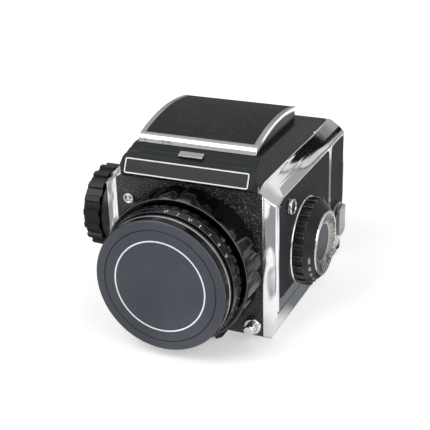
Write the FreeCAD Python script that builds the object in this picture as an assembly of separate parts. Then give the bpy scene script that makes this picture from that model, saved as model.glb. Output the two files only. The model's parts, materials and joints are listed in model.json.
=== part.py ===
import FreeCAD, Part
import math
import os

# Medium format single lens reflex film camera for 6 x 6 cm frames, in millimetres.
# Front faces -Y, up is +Z, and +X is to the right of someone who looks at the lens.
# Lengths along Y are measured from the front leather's face. The finished pieces are moved so that
# the origin lies in the tripod socket's mouth, on the underside.

# Fits
wall_fit = 0.05
running_gap = 0.05
free_gap = 0.3
through = 1.0

# Body casting
body_half = 47.5
body_depth = 84.5
body_top = 83.4
shoulder_drop = 7.0
shoulder_in = 9.0
shoulder_z = body_top - shoulder_drop
shoulder_half = body_half - shoulder_in
band_z = 15.6
base_in = 3.5
base_half = body_half - base_in
corner_in = 7.5
corner_half = body_half - corner_in
corner_bow_r = 16.5
corner_round = 2.2
corner_end = corner_bow_r - math.sqrt((corner_bow_r - corner_round) ** 2 - (corner_in - corner_round) ** 2)
shoulder_bow = 0.6
dip_length = 12.0
dip_depth = 2.4
band_groove = 0.5

# Coverings
leather_t = 0.8
leather_sink = 0.6
leather_margin = 0.8
leather_low = band_z + 6.8
leather_high = shoulder_z - leather_margin
leather_front_margin = 0.3
leather_front = corner_end + leather_front_margin
leather_rear_margin = 2.5
leather_rear = body_depth - leather_rear_margin
leather_corner = 3.0
front_leather_low = 1.4
front_leather_high = body_top - 3.2

# Mirror box and film gate
box_half = 30.0
box_front = 5.5
box_low = 9.4
box_high = body_top - 3.6
film_half = 28.0
gate_frame_half = film_half + 8.0
gate_frame_low = 4.4
gate_frame_high = body_top - 5.0
gate_frame_t = 3.0
gate_rear = body_depth - gate_frame_t
pocket_half = box_half + 3.0
pocket_depth = 7.5
pocket_low = 3.4
pocket_high = body_top - 4.0
roller_r = 2.6
roller_shaft_r = 1.0
roller_inset = 3.0
roller_low_z = pocket_low + roller_inset
roller_high_z = pocket_high - roller_inset
curtain_t = 0.25
curtain_inset = 2.0
roller_y = gate_rear - curtain_t - 2 * running_gap - roller_r

# Reflex mirror, drawn lying down and then turned up to its viewing angle
mirror_half = box_half - 3.0
mirror_length = 61.0
mirror_t = 1.8
mirror_frame_t = 1.4
mirror_border = 1.0
mirror_y = 13.8
mirror_z = box_low + 3.0
mirror_angle = 45.0
mirror_barrel_r = 1.8
mirror_shaft_r = 1.2
mirror_shaft_bite = 2.0

# Base plate and tripod bush
base_t = 2.0
base_front = 1.8
socket_y = 42.0
socket_r = 3.18
socket_length = 6.0
bush_r = 8.0
bush_flange_r = 11.0
bush_flange_t = 1.0
base_screw_r = 1.6
base_screw_length = 6.4
base_screw_head_r = 2.6
base_screw_wall = 0.4
base_screw_x = pocket_half + roller_shaft_r + base_screw_r + base_screw_wall
base_screw_front = 10.0
base_screw_rear = body_depth - 8.5

# Lens: radii about the lens axis, then places along it
lens_z = 40.2
throat_r = 30.0
helicoid_bore = 28.3
helicoid_tube_r = 31.2
helicoid_flange_r = 37.0
helicoid_flange_t = 2.0
focus_r = 39.9
focus_taper = 1.1
focus_well_wall = 2.5
focus_well_r = focus_r - focus_well_wall
focus_edge = 0.4
focus_sleeve_t = 1.35
flute_count = 20
flute_r = 5.0
flute_depth = 1.3
barrel_neck_r = 18.5
barrel_flange_r = focus_well_r - 2.4
barrel_flange_t = 1.0
barrel_front_r = 33.0
barrel_bore = 22.8
barrel_funnel = 4.0
rear_bore = 16.0
rear_seat_t = 1.5
aperture_r = focus_well_r - 0.7
aperture_step = 0.7
aperture_taper = 1.0
aperture_edge = 0.3
aperture_grip = 3.0
aperture_flute_count = 40
aperture_flute_depth = 0.6
front_ring_r = 34.7
front_ring_bead = 0.2
front_ring_bead_w = 1.1
filter_r = 33.5
focus_rear = -1.5
focus_front = -17.5
focus_well_floor = -8.0
helicoid_front = focus_front + 2.0
barrel_rear = 11.0
barrel_neck = 3.0
barrel_flange_gap = 0.8
aperture_rear = focus_front - 2.1
aperture_front = aperture_rear - 7.7
barrel_front = aperture_front - 1.2
front_ring_front = aperture_front - 3.3

# Glass elements: edge thickness and the bulge of the outer face
front_glass_edge = 4.0
front_glass_sag = 4.5
rear_glass_edge = 5.0
rear_glass_sag = 1.5
rear_glass_inset = 2.0

# Iris: blades turn inwards about pins in the barrel
blade_count = 5
blade_t = 0.25
blade_pitch = 0.45
blade_seat = 0.27
blade_inner_r = 13.9
blade_outer_r = 19.6
blade_sweep = 112.0
blade_sweep_corners = 4
blade_pivot_r = 21.0
blade_ear_r = 1.5
blade_pin_r = 0.6
iris_floor = -10.0
iris_depth = 3.0
iris_roof = iris_floor - iris_depth
iris_lip_r = 14.2
retainer_t = 1.0

# Slip-in lens cap
cap_length = 5.0
cap_front = front_ring_front - cap_length
cap_r = 34.8
cap_skirt = 1.7
cap_skirt_t = 1.2
cap_front_t = 1.4
cap_bevel = 0.7
cap_step_r = 29.5
cap_step_w = 0.5
cap_step_depth = 0.35
cap_fit = 0.08

# Lens lock tab beside the focusing ring
lock_angle = 152.0
lock_spread = 6.0
lock_gap = 0.5
lock_t = 2.4
lock_inner_r = focus_r + lock_gap
lock_outer_r = lock_inner_r + lock_t
lock_front = -11.0

# Front fittings
release_x = corner_half - 5.2
release_z = 7.8
release_collar_r = 4.5
release_collar_t = 3.2
release_bevel = 0.6
release_r = 2.8
release_front = -8.0
release_bore_depth = 9.0
release_travel = 3.0
release_spring_room = 1.5
flash_x = 7.2 - corner_half
flash_z = shoulder_z - 8.0
flash_r = 2.8
flash_wall = 0.7
flash_pin_r = 0.9
flash_t = 1.6
stud_r = 4.0
stud_neck_r = 1.8
stud_head_r = 3.0
stud_t = 3.0
stud_foot_t = 0.75
stud_head_t = 0.9
stud_z = shoulder_z - 8.0
dial_side_stud_y = 16.8
knob_side_stud_y = 62.0

# Shutter speed dial on the +X side
dial_y = 40.1
dial_z = 40.1
dial_base_r = 23.7
dial_base_t = 1.7
dial_r = dial_base_r - 1.3
dial_band = 5.0
dial_ribs = 24
dial_rib_w = 2.4
dial_rib_h = 0.9
dial_height = 11.5
dial_face = body_half + dial_height
dial_hub_r = 17.6
dial_hub_rim = 1.3
dial_hub_t = 0.9
dial_disc_r = 10.4
dial_disc_t = 0.5
dial_dish = 1.6
dial_edge = 0.5
dial_shaft_r = 3.0
dial_shaft_end = body_half - 9.5

# Film wind knob and its crank on the -X side
knob_y = 22.5
knob_z = 51.9
knob_r = 20.8
knob_rib_h = 1.4
knob_rib_w = 4.2
knob_ribs = 18
knob_base_r = knob_r - 0.7
knob_base_t = 4.8
knob_height = 10.0
knob_base_face = body_half + knob_base_t
knob_back = knob_base_face + free_gap
knob_face = knob_back + knob_height
knob_edge = 0.5
knob_shaft_r = 4.0
knob_shaft_end = body_half - 11.5
knob_bevel = 1.2
crank_half_w = 4.0
crank_t = 2.0
crank_pivot = -12.0
crank_reach = 23.0
crank_slot_play = 0.4
crank_lift = 0.2
crank_eye_r = 1.6
crank_pin_r = 0.8
crank_ear_t = 1.5
handle_r = 3.2
handle_foot_r = 2.8
handle_length = 6.0
handle_pin_r = 1.2
handle_play = 0.5

# Folding finder hood: its casting, slope, visor and nameplate
hood_height = 11.1
hood_top = body_top + hood_height
hood_low_half = shoulder_half - 0.6
hood_side_slope = 3.5
hood_top_half = hood_low_half - hood_side_slope
hood_front = 11.6
hood_rear = body_depth - 5.8
hood_rear_low = body_depth - 0.3
visor_top = (0.8, body_top + 7.0)
visor_low = (-2.95, body_top - 0.8)
visor_chin = (0.0, body_top - 2.8)
visor_half = hood_low_half - 3.3
visor_depth = 4.5
visor_cheek = 1.9
visor_cheek_slope = 1.4
slope_steps = 3
slope_step_start = 0.7
slope_step_depth = 0.55
slope_step_share = 0.06
well_half = 28.6
well_front = 13.6
well_rear = hood_rear - 10.1
plate_margin = 0.35
plate_half = visor_half - 1.0
plate_t = 0.6
plate_corner = 1.1
catch_half = 6.6
catch_t = 1.0
catch_low = 0.35
catch_high = 0.68

# Focusing screen
screen_seat_z = body_top - 3.0
screen_frame_half = 31.0
screen_frame_front = 9.5
screen_rear_wall = 13.0
screen_frame_rear = body_depth - screen_rear_wall
screen_lip = 3.5
screen_rebate = 2.0
screen_lip_t = 1.0
screen_drop = 0.2

# Hood panels
panel_t = 0.8
panel_knuckle_r = 0.9
side_panel_x = well_half - 1.0
side_panel_z = body_top + 5.2
side_panel_height = 22.0
side_panel_front = well_front + 2.0
side_panel_rear = well_rear - 0.8
front_panel_y = well_front + 1.0
front_panel_z = body_top + 7.8
front_panel_height = 24.0
front_panel_half = well_half - 2.6

# Hood lid and its rim
lid_half = hood_top_half - 2.1
lid_front = hood_front + 0.2
lid_rear = hood_rear - 6.9
lid_low = hood_top + free_gap
lid_wall = 1.4
lid_roof = 1.6
lid_lean = 1.3
lid_front_height = 3.6
lid_crown_height = 9.5
lid_rear_height = 7.4
lid_crown_back = 2.2
lid_crown_y = (lid_front + lid_rear) / 2 + lid_crown_back
lid_front_top = (lid_front + lid_lean, lid_low + lid_front_height)
lid_crown = (lid_crown_y, lid_low + lid_crown_height)
lid_rear_top = (lid_rear - lid_lean, lid_low + lid_rear_height)
lid_hinge_y = lid_rear - 1.2
lid_hinge_z = lid_low + 1.2
lid_hinge_half = 22.0
lid_pin_r = 1.0
lid_knuckle_r = 1.6
lid_lug_t = 2.7
lid_shell_inset = 0.8
rim_w = 2.6
rim_h = 2.1
rim_front_w = 3.9
rim_front_round = 4.0
lid_leather_t = 0.5

# Magnifier that hangs under the lid
magnifier_half = 14.0
magnifier_length = 27.0
magnifier_front_room = 3.2
magnifier_reach = lid_hinge_y - lid_front - lid_roof - magnifier_front_room - magnifier_length
magnifier_t = 1.6
magnifier_z = lid_low + 0.8
magnifier_lens_r = 11.0
magnifier_knuckle_r = 1.2
magnifier_pin_r = 0.8
magnifier_lug_w = 1.6
magnifier_lug_r = 2.0

# Film magazine, its dark slide and door
magazine_gap = 0.3
magazine_length = 25.5
magazine_front = body_depth + magazine_gap
magazine_rear = body_depth + magazine_length
magazine_plate_t = 3.2
magazine_border = 2.0
magazine_top_border = 0.8
pressure_overlap = 3.0
pressure_room = 2.4
film_well_half = film_half + pressure_overlap + pressure_room
film_well_low = 2.2
film_well_high = body_top - 2.2
slide_t = 0.7
slide_half = film_half + 2.6
slide_tip = 31.0
slide_from_front = 0.9
slide_play = 0.15
slide_grip = 7.0
slide_grip_t = 1.8
door_depth = 5.4
door_rear = magazine_rear + door_depth
door_t = 1.3
door_half = body_half - 2.1
door_chamfer = 2.4
door_corner = 2.0
door_overlap = 1.5
door_hinge_r = 1.6
door_hinge_x = body_half - 1.9
door_hinge_y = magazine_rear + free_gap + door_hinge_r
door_lug_inset = 6.0
door_lug_height = 7.0
door_lug_low = film_well_low + door_lug_inset
door_lug_high = shoulder_z - door_lug_inset - door_lug_height
door_pin_r = 0.8

# Spools, pressure plate and winding key
spool_r = 12.4
spool_core_r = 5.8
spool_half = film_well_half - 1.8
spool_flange_t = 1.2
spool_y = magazine_rear - 8.9
spool_low_z = film_well_low + spool_r + free_gap
spool_high_z = film_well_high - spool_r - free_gap
spool_stub_r = 2.4
spool_stub = 3.0
pressure_t = 1.0
pressure_half = film_half + pressure_overlap
pressure_half_height = 18.5
key_y = magazine_front + 10.2
key_z = 29.0
key_r = 10.0
key_disc_t = 1.6
key_neck_r = 5.0
key_neck = 1.0
key_wing_r = 9.2
key_wing_t = 1.7
key_wing_half = 5.6
key_shaft_r = 2.5
key_shaft = 8.0


def vec(x, y, z):
    return FreeCAD.Vector(x, y, z)


def box(x0, x1, y0, y1, z0, z1):
    return Part.makeBox(x1 - x0, y1 - y0, z1 - z0, vec(x0, y0, z0))


def face_of(points):
    return Part.Face(Part.makePolygon(points + [points[0]]))


def prism_xz(points, y0, y1):
    return face_of([vec(x, y0, z) for x, z in points]).extrude(vec(0, y1 - y0, 0))


def prism_yz(points, x0, x1):
    return face_of([vec(x0, y, z) for y, z in points]).extrude(vec(x1 - x0, 0, 0))


def prism_xy(points, z0, z1):
    return face_of([vec(x, y, z0) for x, y in points]).extrude(vec(0, 0, z1 - z0))


def rod_x(r, x0, x1, y, z):
    return Part.makeCylinder(r, x1 - x0, vec(x0, y, z), vec(1, 0, 0))


def rod_y(r, y0, y1, x, z):
    return Part.makeCylinder(r, y1 - y0, vec(x, y0, z), vec(0, 1, 0))


def rod_z(r, z0, z1, x, y):
    return Part.makeCylinder(r, z1 - z0, vec(x, y, z0), vec(0, 0, 1))


def turned_y(profile, x, z):
    """Turn a profile of (y, radius) points about an axis along Y."""
    face = face_of([vec(x + r, y, z) for y, r in profile])
    return face.revolve(vec(x, 0, z), vec(0, 1, 0), 360)


def turned_x(profile, y, z):
    """Turn a profile of (x, radius) points about an axis along X."""
    face = face_of([vec(x, y + r, z) for x, r in profile])
    return face.revolve(vec(0, y, z), vec(1, 0, 0), 360)


def about_y(shape, degrees, x, z):
    turned = shape.copy()
    turned.rotate(vec(x, 0, z), vec(0, 1, 0), degrees)
    return turned


def about_x(shape, degrees, y, z):
    turned = shape.copy()
    turned.rotate(vec(0, y, z), vec(1, 0, 0), degrees)
    return turned


def moved(shape, x, y, z):
    copy = shape.copy()
    copy.translate(vec(x, y, z))
    return copy


def both_sides(shape):
    return [shape, shape.mirror(vec(0, 0, 0), vec(1, 0, 0))]


def edges_along(shape, axis):
    """Straight edges that run along one axis, x, y or z."""
    least_share = 0.9
    return [e for e in shape.Edges if abs(getattr(e.tangentAt(e.FirstParameter), axis)) > least_share]


def save(name, *solids):
    """Write one node, moved from the front leather's face to the tripod socket."""
    shape = solids[0].copy() if len(solids) == 1 else Part.makeCompound([s.copy() for s in solids])
    shape.translate(vec(0, -socket_y, 0))
    shape.exportStep(f"parts/{name}.step")


def bowed(start, end, bow):
    """Edge from start to end whose middle bulges by bow to the left of its run, seen from the front."""
    x0, z0 = start
    x1, z1 = end
    share = bow / math.hypot(x1 - x0, z1 - z0)
    middle = vec((x0 + x1) / 2 - (z1 - z0) * share, 0, (z0 + z1) / 2 + (x1 - x0) * share)
    return Part.Arc(vec(x0, 0, z0), middle, vec(x1, 0, z1)).toShape()


def casting_block(low, y0, y1):
    """Block from y0 to y1 with the section that the body and the magazine share."""
    left = [(-base_half, low), (-body_half, band_z), (-body_half, shoulder_z), (-shoulder_half, body_top)]
    corners = left + [(-x, z) for x, z in reversed(left)]
    edges = []
    for start, end in zip(corners, corners[1:] + corners[:1]):
        if {start[1], end[1]} == {shoulder_z, body_top}:
            edges.append(bowed(start, end, shoulder_bow))
        else:
            edges.append(Part.makeLine(vec(start[0], 0, start[1]), vec(end[0], 0, end[1])))
    block = Part.Face(Part.Wire(edges)).extrude(vec(0, y1 - y0, 0))
    return moved(block, 0, y0, 0)


def corner_plan():
    """Plan of the body: each front corner bows back from the leather and then rounds into the side."""
    reach = corner_bow_r - corner_round
    lean = math.asin((corner_in - corner_round) / reach)
    turn = (lean + math.pi / 2) / 2
    bow = [(corner_half + corner_bow_r * math.sin(a), corner_bow_r * (1 - math.cos(a)))
           for a in (0, lean / 2, lean)]
    round_x = body_half - corner_round
    last = [bow[2], (round_x + corner_round * math.sin(turn), corner_end - corner_round * math.cos(turn)),
            (body_half, corner_end)]
    flanks = []
    for side in (1, -1):
        flank = [Part.Arc(*[vec(side * x, y, 0) for x, y in points]).toShape() for points in (bow, last)]
        x = side * body_half
        flanks.append(flank + [Part.makeLine(vec(x, corner_end, 0), vec(x, body_depth, 0))])
    front = Part.makeLine(vec(-corner_half, 0, 0), vec(corner_half, 0, 0))
    rear = Part.makeLine(vec(body_half, body_depth, 0), vec(-body_half, body_depth, 0))
    right, left = flanks
    return Part.Face(Part.Wire([front] + right + [rear] + left[::-1]))


def shoulder_dip(drop):
    """Wedge that slopes the +X shoulder down towards the front corner, lowered by drop."""
    rise = (dip_depth + shoulder_bow) / dip_length
    top = shoulder_z + shoulder_bow - drop
    outer = body_half + shoulder_in
    wedge = prism_yz([(-through, top - rise * (dip_length + through)), (dip_length, top),
                      (-through, top + through + drop)], body_half - 2 * shoulder_in, outer)
    wedge = about_y(wedge, math.degrees(math.atan2(shoulder_drop, shoulder_in)), body_half, shoulder_z)
    return wedge.common(box(hood_low_half, outer, -through, dip_length, 0, 2 * body_top))


def side_cover(y0, y1, inner, outer):
    """Side covering with rounded corners, from x = inner to x = outer."""
    cover = box(inner, outer, y0, y1, leather_low, leather_high)
    return cover.makeFillet(leather_corner, edges_along(cover, "x"))


def body_shell():
    shell = casting_block(base_t, 0, body_depth).common(corner_plan().extrude(vec(0, 0, body_top)))
    light_half = screen_frame_half - screen_lip
    cuts = [
        box(-corner_half, corner_half, 0, leather_t, 0, body_top),
        box(-box_half, box_half, box_front, body_depth, box_low, box_high),
        box(-gate_frame_half, gate_frame_half, gate_rear, body_depth, gate_frame_low, gate_frame_high),
        box(-pocket_half, pocket_half, gate_rear - pocket_depth, gate_rear, pocket_low, pocket_high),
        rod_y(throat_r, 0, box_front + through, 0, lens_z),
        box(-light_half, light_half, screen_frame_front + screen_lip, screen_frame_rear - screen_lip,
            box_high - through, body_top),
        box(-screen_frame_half, screen_frame_half, screen_frame_front, screen_frame_rear,
            screen_seat_z, body_top),
        rod_x(dial_shaft_r + running_gap, dial_shaft_end - free_gap, body_half + through, dial_y, dial_z),
        rod_x(knob_shaft_r + running_gap, -body_half - through, free_gap - knob_shaft_end, knob_y, knob_z),
        rod_y(release_r + running_gap, 0, release_bore_depth, release_x, release_z),
        rod_z(bush_r + wall_fit, base_t, socket_length + base_t, 0, socket_y),
    ]
    cuts += both_sides(shoulder_dip(0))
    for side in (1, -1):
        cuts.append(side_recess(side))
        cuts.append(band_line(side))
    roller_reach = pocket_half + 2 * roller_shaft_r
    for z in (roller_low_z, roller_high_z):
        cuts.append(rod_x(roller_shaft_r + running_gap, -roller_reach, roller_reach, roller_y, z))
    shaft_end = box_half + mirror_shaft_bite + free_gap
    cuts.append(rod_x(mirror_shaft_r + running_gap, -shaft_end, shaft_end, mirror_y, mirror_z))
    for x, y in base_screw_places():
        cuts.append(rod_z(base_screw_r, base_t, base_t + base_screw_length + base_screw_r, x, y))
    for cut in cuts:
        shell = shell.cut(cut)
    return shell


def side_recess(side):
    """Shallow bed of a side covering, left standing under the fittings that bolt through it."""
    inner = body_half - leather_sink
    bed = side_cover(leather_front, leather_rear, inner, body_half + through)
    bed = bed.cut(shoulder_dip(leather_margin))
    for r, y, z in side_fittings(side):
        bed = bed.cut(rod_x(r, inner - through, body_half + 2 * through, y, z))
    return bed if side > 0 else both_sides(bed)[1]


def side_fittings(side):
    """Radius and place of each round foot that stands on a side."""
    if side > 0:
        return [(stud_r + wall_fit, dial_side_stud_y, stud_z), (dial_base_r + wall_fit, dial_y, dial_z)]
    return [(stud_r + wall_fit, knob_side_stud_y, stud_z), (knob_base_r + wall_fit, knob_y, knob_z)]


def band_line(side):
    """Groove along the side where the lower band meets the casting."""
    x = side * body_half
    inner = x - side * band_groove
    return box(min(x, inner), max(x, inner), 0, body_depth, band_z - band_groove, band_z + band_groove)


def coverings():
    front = box(-corner_half, corner_half, 0, leather_t, front_leather_low, front_leather_high)
    corners = [e for e in edges_along(front, "y") if e.BoundBox.ZMin > lens_z]
    front = front.makeFillet(leather_corner, corners)
    holes = [(helicoid_flange_r, 0, lens_z), (release_collar_r, release_x, release_z),
             (flash_r, flash_x, flash_z)]
    for r, x, z in holes:
        front = front.cut(rod_y(r + wall_fit, -through, leather_t + through, x, z))
    save("front_leather", front)
    inner = body_half - leather_sink
    covers = []
    for side in (1, -1):
        cover = side_cover(leather_front + wall_fit, leather_rear - wall_fit, inner, inner + leather_t)
        cover = cover.cut(shoulder_dip(leather_margin + wall_fit))
        for r, y, z in side_fittings(side):
            cover = cover.cut(rod_x(r + wall_fit, inner - through, body_half + through, y, z))
        covers.append(cover if side > 0 else both_sides(cover)[1])
    save("side_leathers", *covers)


def base_screw_places():
    return [(x, y) for x in (-base_screw_x, base_screw_x) for y in (base_screw_front, base_screw_rear)]


def base():
    """Underside plate, its screws, and the bush that takes a tripod's screw."""
    low_half = base_half - base_in * base_t / band_z
    plate = prism_xz([(-low_half, 0), (low_half, 0), (base_half, base_t), (-base_half, base_t)],
                     base_front, body_depth)
    plate = plate.cut(rod_z(bush_flange_r + wall_fit, 0, bush_flange_t, 0, socket_y))
    plate = plate.cut(rod_z(bush_r + wall_fit, 0, base_t, 0, socket_y))
    screws = []
    head_top = base_t / 2
    for x, y in base_screw_places():
        plate = plate.cut(rod_z(base_screw_head_r + wall_fit, 0, head_top, x, y))
        plate = plate.cut(rod_z(base_screw_r + wall_fit, 0, base_t, x, y))
        head = rod_z(base_screw_head_r, free_gap, head_top, x, y)
        screws.append(head.fuse(rod_z(base_screw_r, head_top, base_t + base_screw_length, x, y)))
    save("base_plate", plate)
    save("base_screws", *screws)
    bush = rod_z(bush_flange_r, 0, bush_flange_t, 0, socket_y)
    bush = bush.fuse(rod_z(bush_r, bush_flange_t, socket_length + base_t - wall_fit, 0, socket_y))
    save("tripod_bush", bush.cut(rod_z(socket_r, 0, socket_length, 0, socket_y)))


def shutter():
    """Film gate, and the cloth curtain between its two rollers."""
    half = gate_frame_half - wall_fit
    gate = box(-half, half, gate_rear, body_depth, gate_frame_low + wall_fit, gate_frame_high - wall_fit)
    gate = gate.cut(box(-film_half, film_half, 0, 2 * body_depth, lens_z - film_half, lens_z + film_half))
    save("film_gate", gate)
    curtain_y = roller_y + roller_r + running_gap
    curtain_half = pocket_half - curtain_inset
    save("shutter_curtain", box(-curtain_half, curtain_half, curtain_y, curtain_y + curtain_t,
                                roller_low_z, roller_high_z))
    rollers = []
    for z in (roller_low_z, roller_high_z):
        drum_half = pocket_half - roller_shaft_r
        shaft_half = pocket_half + roller_shaft_r
        drum = rod_x(roller_r, -drum_half, drum_half, roller_y, z)
        shaft = rod_x(roller_shaft_r, -shaft_half, shaft_half, roller_y, z)
        rollers.append(drum.fuse(shaft))
    save("shutter_rollers", *rollers)


def mirror():
    """Mirror glass in its frame, with the shaft it falls about, all turned up to the viewing angle."""
    y0 = mirror_y
    z0 = mirror_z
    half = mirror_half + mirror_border
    frame = box(-half, half, y0, y0 + mirror_length + mirror_border, z0 - mirror_frame_t, z0)
    frame = frame.fuse(rod_x(mirror_barrel_r, -half, half, y0, z0))
    glass_front = y0 + mirror_barrel_r + wall_fit
    glass = box(-mirror_half, mirror_half, glass_front, y0 + mirror_length, z0, z0 + mirror_t)
    shaft_end = box_half + mirror_shaft_bite
    shaft = rod_x(mirror_shaft_r, -shaft_end, shaft_end, y0, z0)
    for name, piece in (("mirror_frame", frame.fuse(shaft)), ("mirror_glass", glass)):
        save(name, about_x(piece, mirror_angle, y0, z0))


def helicoid():
    """Fixed helicoid tube on the body, and the fluted ring that turns on it."""
    rear = box_front - through
    flange_y = leather_t - helicoid_flange_t
    base_ring = turned_y([(rear, helicoid_bore), (rear, throat_r - wall_fit),
                          (leather_t, throat_r - wall_fit), (leather_t, helicoid_flange_r),
                          (flange_y, helicoid_flange_r),
                          (flange_y, helicoid_tube_r), (helicoid_front, helicoid_tube_r),
                          (helicoid_front, helicoid_bore)], 0, lens_z)
    save("helicoid_base", base_ring)
    bore = helicoid_tube_r + running_gap
    sleeve = bore + focus_sleeve_t
    front_r = focus_r - focus_taper
    ring = turned_y([(focus_rear, bore), (focus_rear, focus_r - 2 * focus_edge),
                     (focus_rear - 2 * focus_edge, focus_r),
                     (focus_front + 2 * focus_edge, front_r + focus_edge),
                     (focus_front, front_r - focus_edge), (focus_front, focus_well_r),
                     (focus_well_floor, focus_well_r), (focus_well_floor, sleeve), (helicoid_front, sleeve),
                     (helicoid_front, bore)], 0, lens_z)
    flute_top = focus_r - flute_depth + flute_r
    flute = rod_y(flute_r, focus_front - through, focus_rear - helicoid_flange_t, 0, lens_z + flute_top)
    for k in range(flute_count):
        ring = ring.cut(about_y(flute, 360 * k / flute_count, 0, lens_z))
    save("focus_ring", ring)


def lens_unit():
    """Barrel that slides in the helicoid, with its glass, the iris retainer and the front ring."""
    slide_r = helicoid_bore - running_gap
    flange_y = focus_front - barrel_flange_gap
    flange_front = flange_y - barrel_flange_t
    seat_y = iris_floor + rear_seat_t
    barrel = turned_y([(barrel_rear, rear_bore), (barrel_rear, barrel_neck_r), (barrel_neck, barrel_neck_r),
                       (barrel_neck, slide_r), (flange_y, slide_r), (flange_y, barrel_flange_r),
                       (flange_front, barrel_flange_r), (flange_front, barrel_front_r),
                       (barrel_front, barrel_front_r), (barrel_front, barrel_front_r - barrel_funnel),
                       (barrel_front + barrel_funnel, barrel_bore), (iris_floor, barrel_bore),
                       (iris_floor, iris_lip_r), (seat_y, iris_lip_r), (seat_y, rear_bore)], 0, lens_z)
    for k in range(blade_count):
        x, z = blade_pivot(k)
        barrel = barrel.fuse(rod_y(blade_pin_r, iris_roof + free_gap, iris_floor + rear_seat_t / 2, x, z))
    save("lens_barrel", barrel)
    retainer_front = iris_roof - retainer_t
    retainer = rod_y(barrel_bore - wall_fit, retainer_front, iris_roof, 0, lens_z)
    save("iris_retainer", retainer.cut(rod_y(iris_lip_r, retainer_front, iris_roof, 0, lens_z)))
    save("lens_glass", lens_element(retainer_front - wall_fit, front_glass_edge, front_glass_sag, 0,
                                    barrel_bore - wall_fit),
         lens_element(barrel_rear - rear_glass_inset, rear_glass_edge, 0, rear_glass_sag,
                      rear_bore - wall_fit))
    grip = barrel_front_r + wall_fit
    bead_r = front_ring_r + front_ring_bead
    bead_front = aperture_front - free_gap - front_ring_bead_w
    front = turned_y([(aperture_front - free_gap, grip), (aperture_front - free_gap, bead_r),
                      (bead_front, bead_r), (bead_front, front_ring_r),
                      (front_ring_front, front_ring_r), (front_ring_front, filter_r),
                      (barrel_front, filter_r), (barrel_front, grip)], 0, lens_z)
    save("front_ring", front)


def lens_element(rear, edge_t, front_sag, rear_sag, r):
    """Glass disc with an edge edge_t thick and spherical faces that bulge by the sags."""
    front = rear - edge_t
    disc = rod_y(r, front - front_sag, rear + rear_sag, 0, lens_z)
    for face_y, sag, way in ((front, front_sag, -1), (rear, rear_sag, 1)):
        if sag > 0:
            ball_r = (r * r + sag * sag) / (2 * sag)
            disc = disc.common(Part.makeSphere(ball_r, vec(0, face_y + way * (sag - ball_r), lens_z)))
    return disc


def blade_pivot(k):
    angle = math.radians(360 * k / blade_count)
    return blade_pivot_r * math.sin(angle), lens_z + blade_pivot_r * math.cos(angle)


def sector(r, first, last, y0, y1, corners):
    """Wedge about the lens axis between two angles from the top, with that many outer corners."""
    outline = [(0, lens_z)]
    for k in range(corners):
        a = math.radians(first + (last - first) * k / (corners - 1))
        outline.append((r * math.sin(a), lens_z + r * math.cos(a)))
    return prism_xz(outline, y0, y1)


def iris():
    """Crescent blades, one layer each, open to their widest."""
    for k in range(blade_count):
        y1 = iris_floor - blade_seat - blade_pitch * k
        y0 = y1 - blade_t
        band = rod_y(blade_outer_r, y0, y1, 0, lens_z).cut(rod_y(blade_inner_r, y0, y1, 0, lens_z))
        band = band.common(sector(2 * blade_outer_r, 0, blade_sweep, y0, y1, blade_sweep_corners))
        ear = rod_y(blade_ear_r, y0, y1, 0, lens_z + blade_pivot_r)
        neck_low = (blade_inner_r + blade_outer_r) / 2
        neck = box(-blade_ear_r, blade_ear_r, y0, y1, lens_z + neck_low, lens_z + blade_pivot_r)
        blade = band.fuse(ear).fuse(neck)
        blade = blade.cut(rod_y(blade_pin_r + running_gap, y0, y1, 0, lens_z + blade_pivot_r))
        save(f"iris_blade_{k + 1}", about_y(blade, 360 * k / blade_count, 0, lens_z))


def aperture_ring():
    bore = barrel_front_r + running_gap
    step = aperture_rear - aperture_grip
    front_r = aperture_r - aperture_taper
    ring = turned_y([(aperture_rear, bore), (aperture_rear, aperture_r - aperture_edge),
                     (aperture_rear - aperture_edge, aperture_r), (step, aperture_r),
                     (step, aperture_r - aperture_step), (aperture_front, front_r),
                     (aperture_front, bore)], 0, lens_z)
    flute_r = 2 * aperture_flute_depth
    flute = rod_y(flute_r, step, aperture_rear, 0, lens_z + aperture_r + flute_r - aperture_flute_depth)
    for k in range(aperture_flute_count):
        ring = ring.cut(about_y(flute, 360 * k / aperture_flute_count, 0, lens_z))
    save("aperture_ring", ring)


def lens_cap():
    skirt_r = filter_r - cap_fit
    inner_r = skirt_r - cap_skirt_t
    rear = front_ring_front - free_gap
    skirt_rear = rear + cap_skirt
    floor = cap_front + cap_front_t
    groove = cap_front + cap_step_depth
    groove_r = cap_step_r + cap_step_w
    cap = turned_y([(floor, 0), (floor, inner_r), (skirt_rear, inner_r), (skirt_rear, skirt_r),
                    (rear, skirt_r), (rear, cap_r), (cap_front + cap_bevel, cap_r),
                    (cap_front, cap_r - cap_bevel),
                    (cap_front, groove_r), (groove, groove_r), (groove, cap_step_r), (cap_front, cap_step_r),
                    (cap_front, 0)], 0, lens_z)
    save("lens_cap", cap)


def lock_tab():
    """Short tab beside the focusing ring that frees the lens."""
    rear = -free_gap
    tab = rod_y(lock_outer_r, lock_front, rear, 0, lens_z)
    tab = tab.cut(rod_y(lock_inner_r, lock_front, rear, 0, lens_z))
    half = lock_spread / 2
    save("lens_lock_tab", tab.common(sector(2 * lock_outer_r, lock_angle - half, lock_angle + half,
                                            lock_front, rear, 2)))


def bevelled_front(rod, y, size):
    """Chamfer on the round front edge of a rod whose front lies at y."""
    return rod.makeChamfer(size, [e for e in rod.Edges if e.BoundBox.YMax < y + wall_fit])


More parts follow.
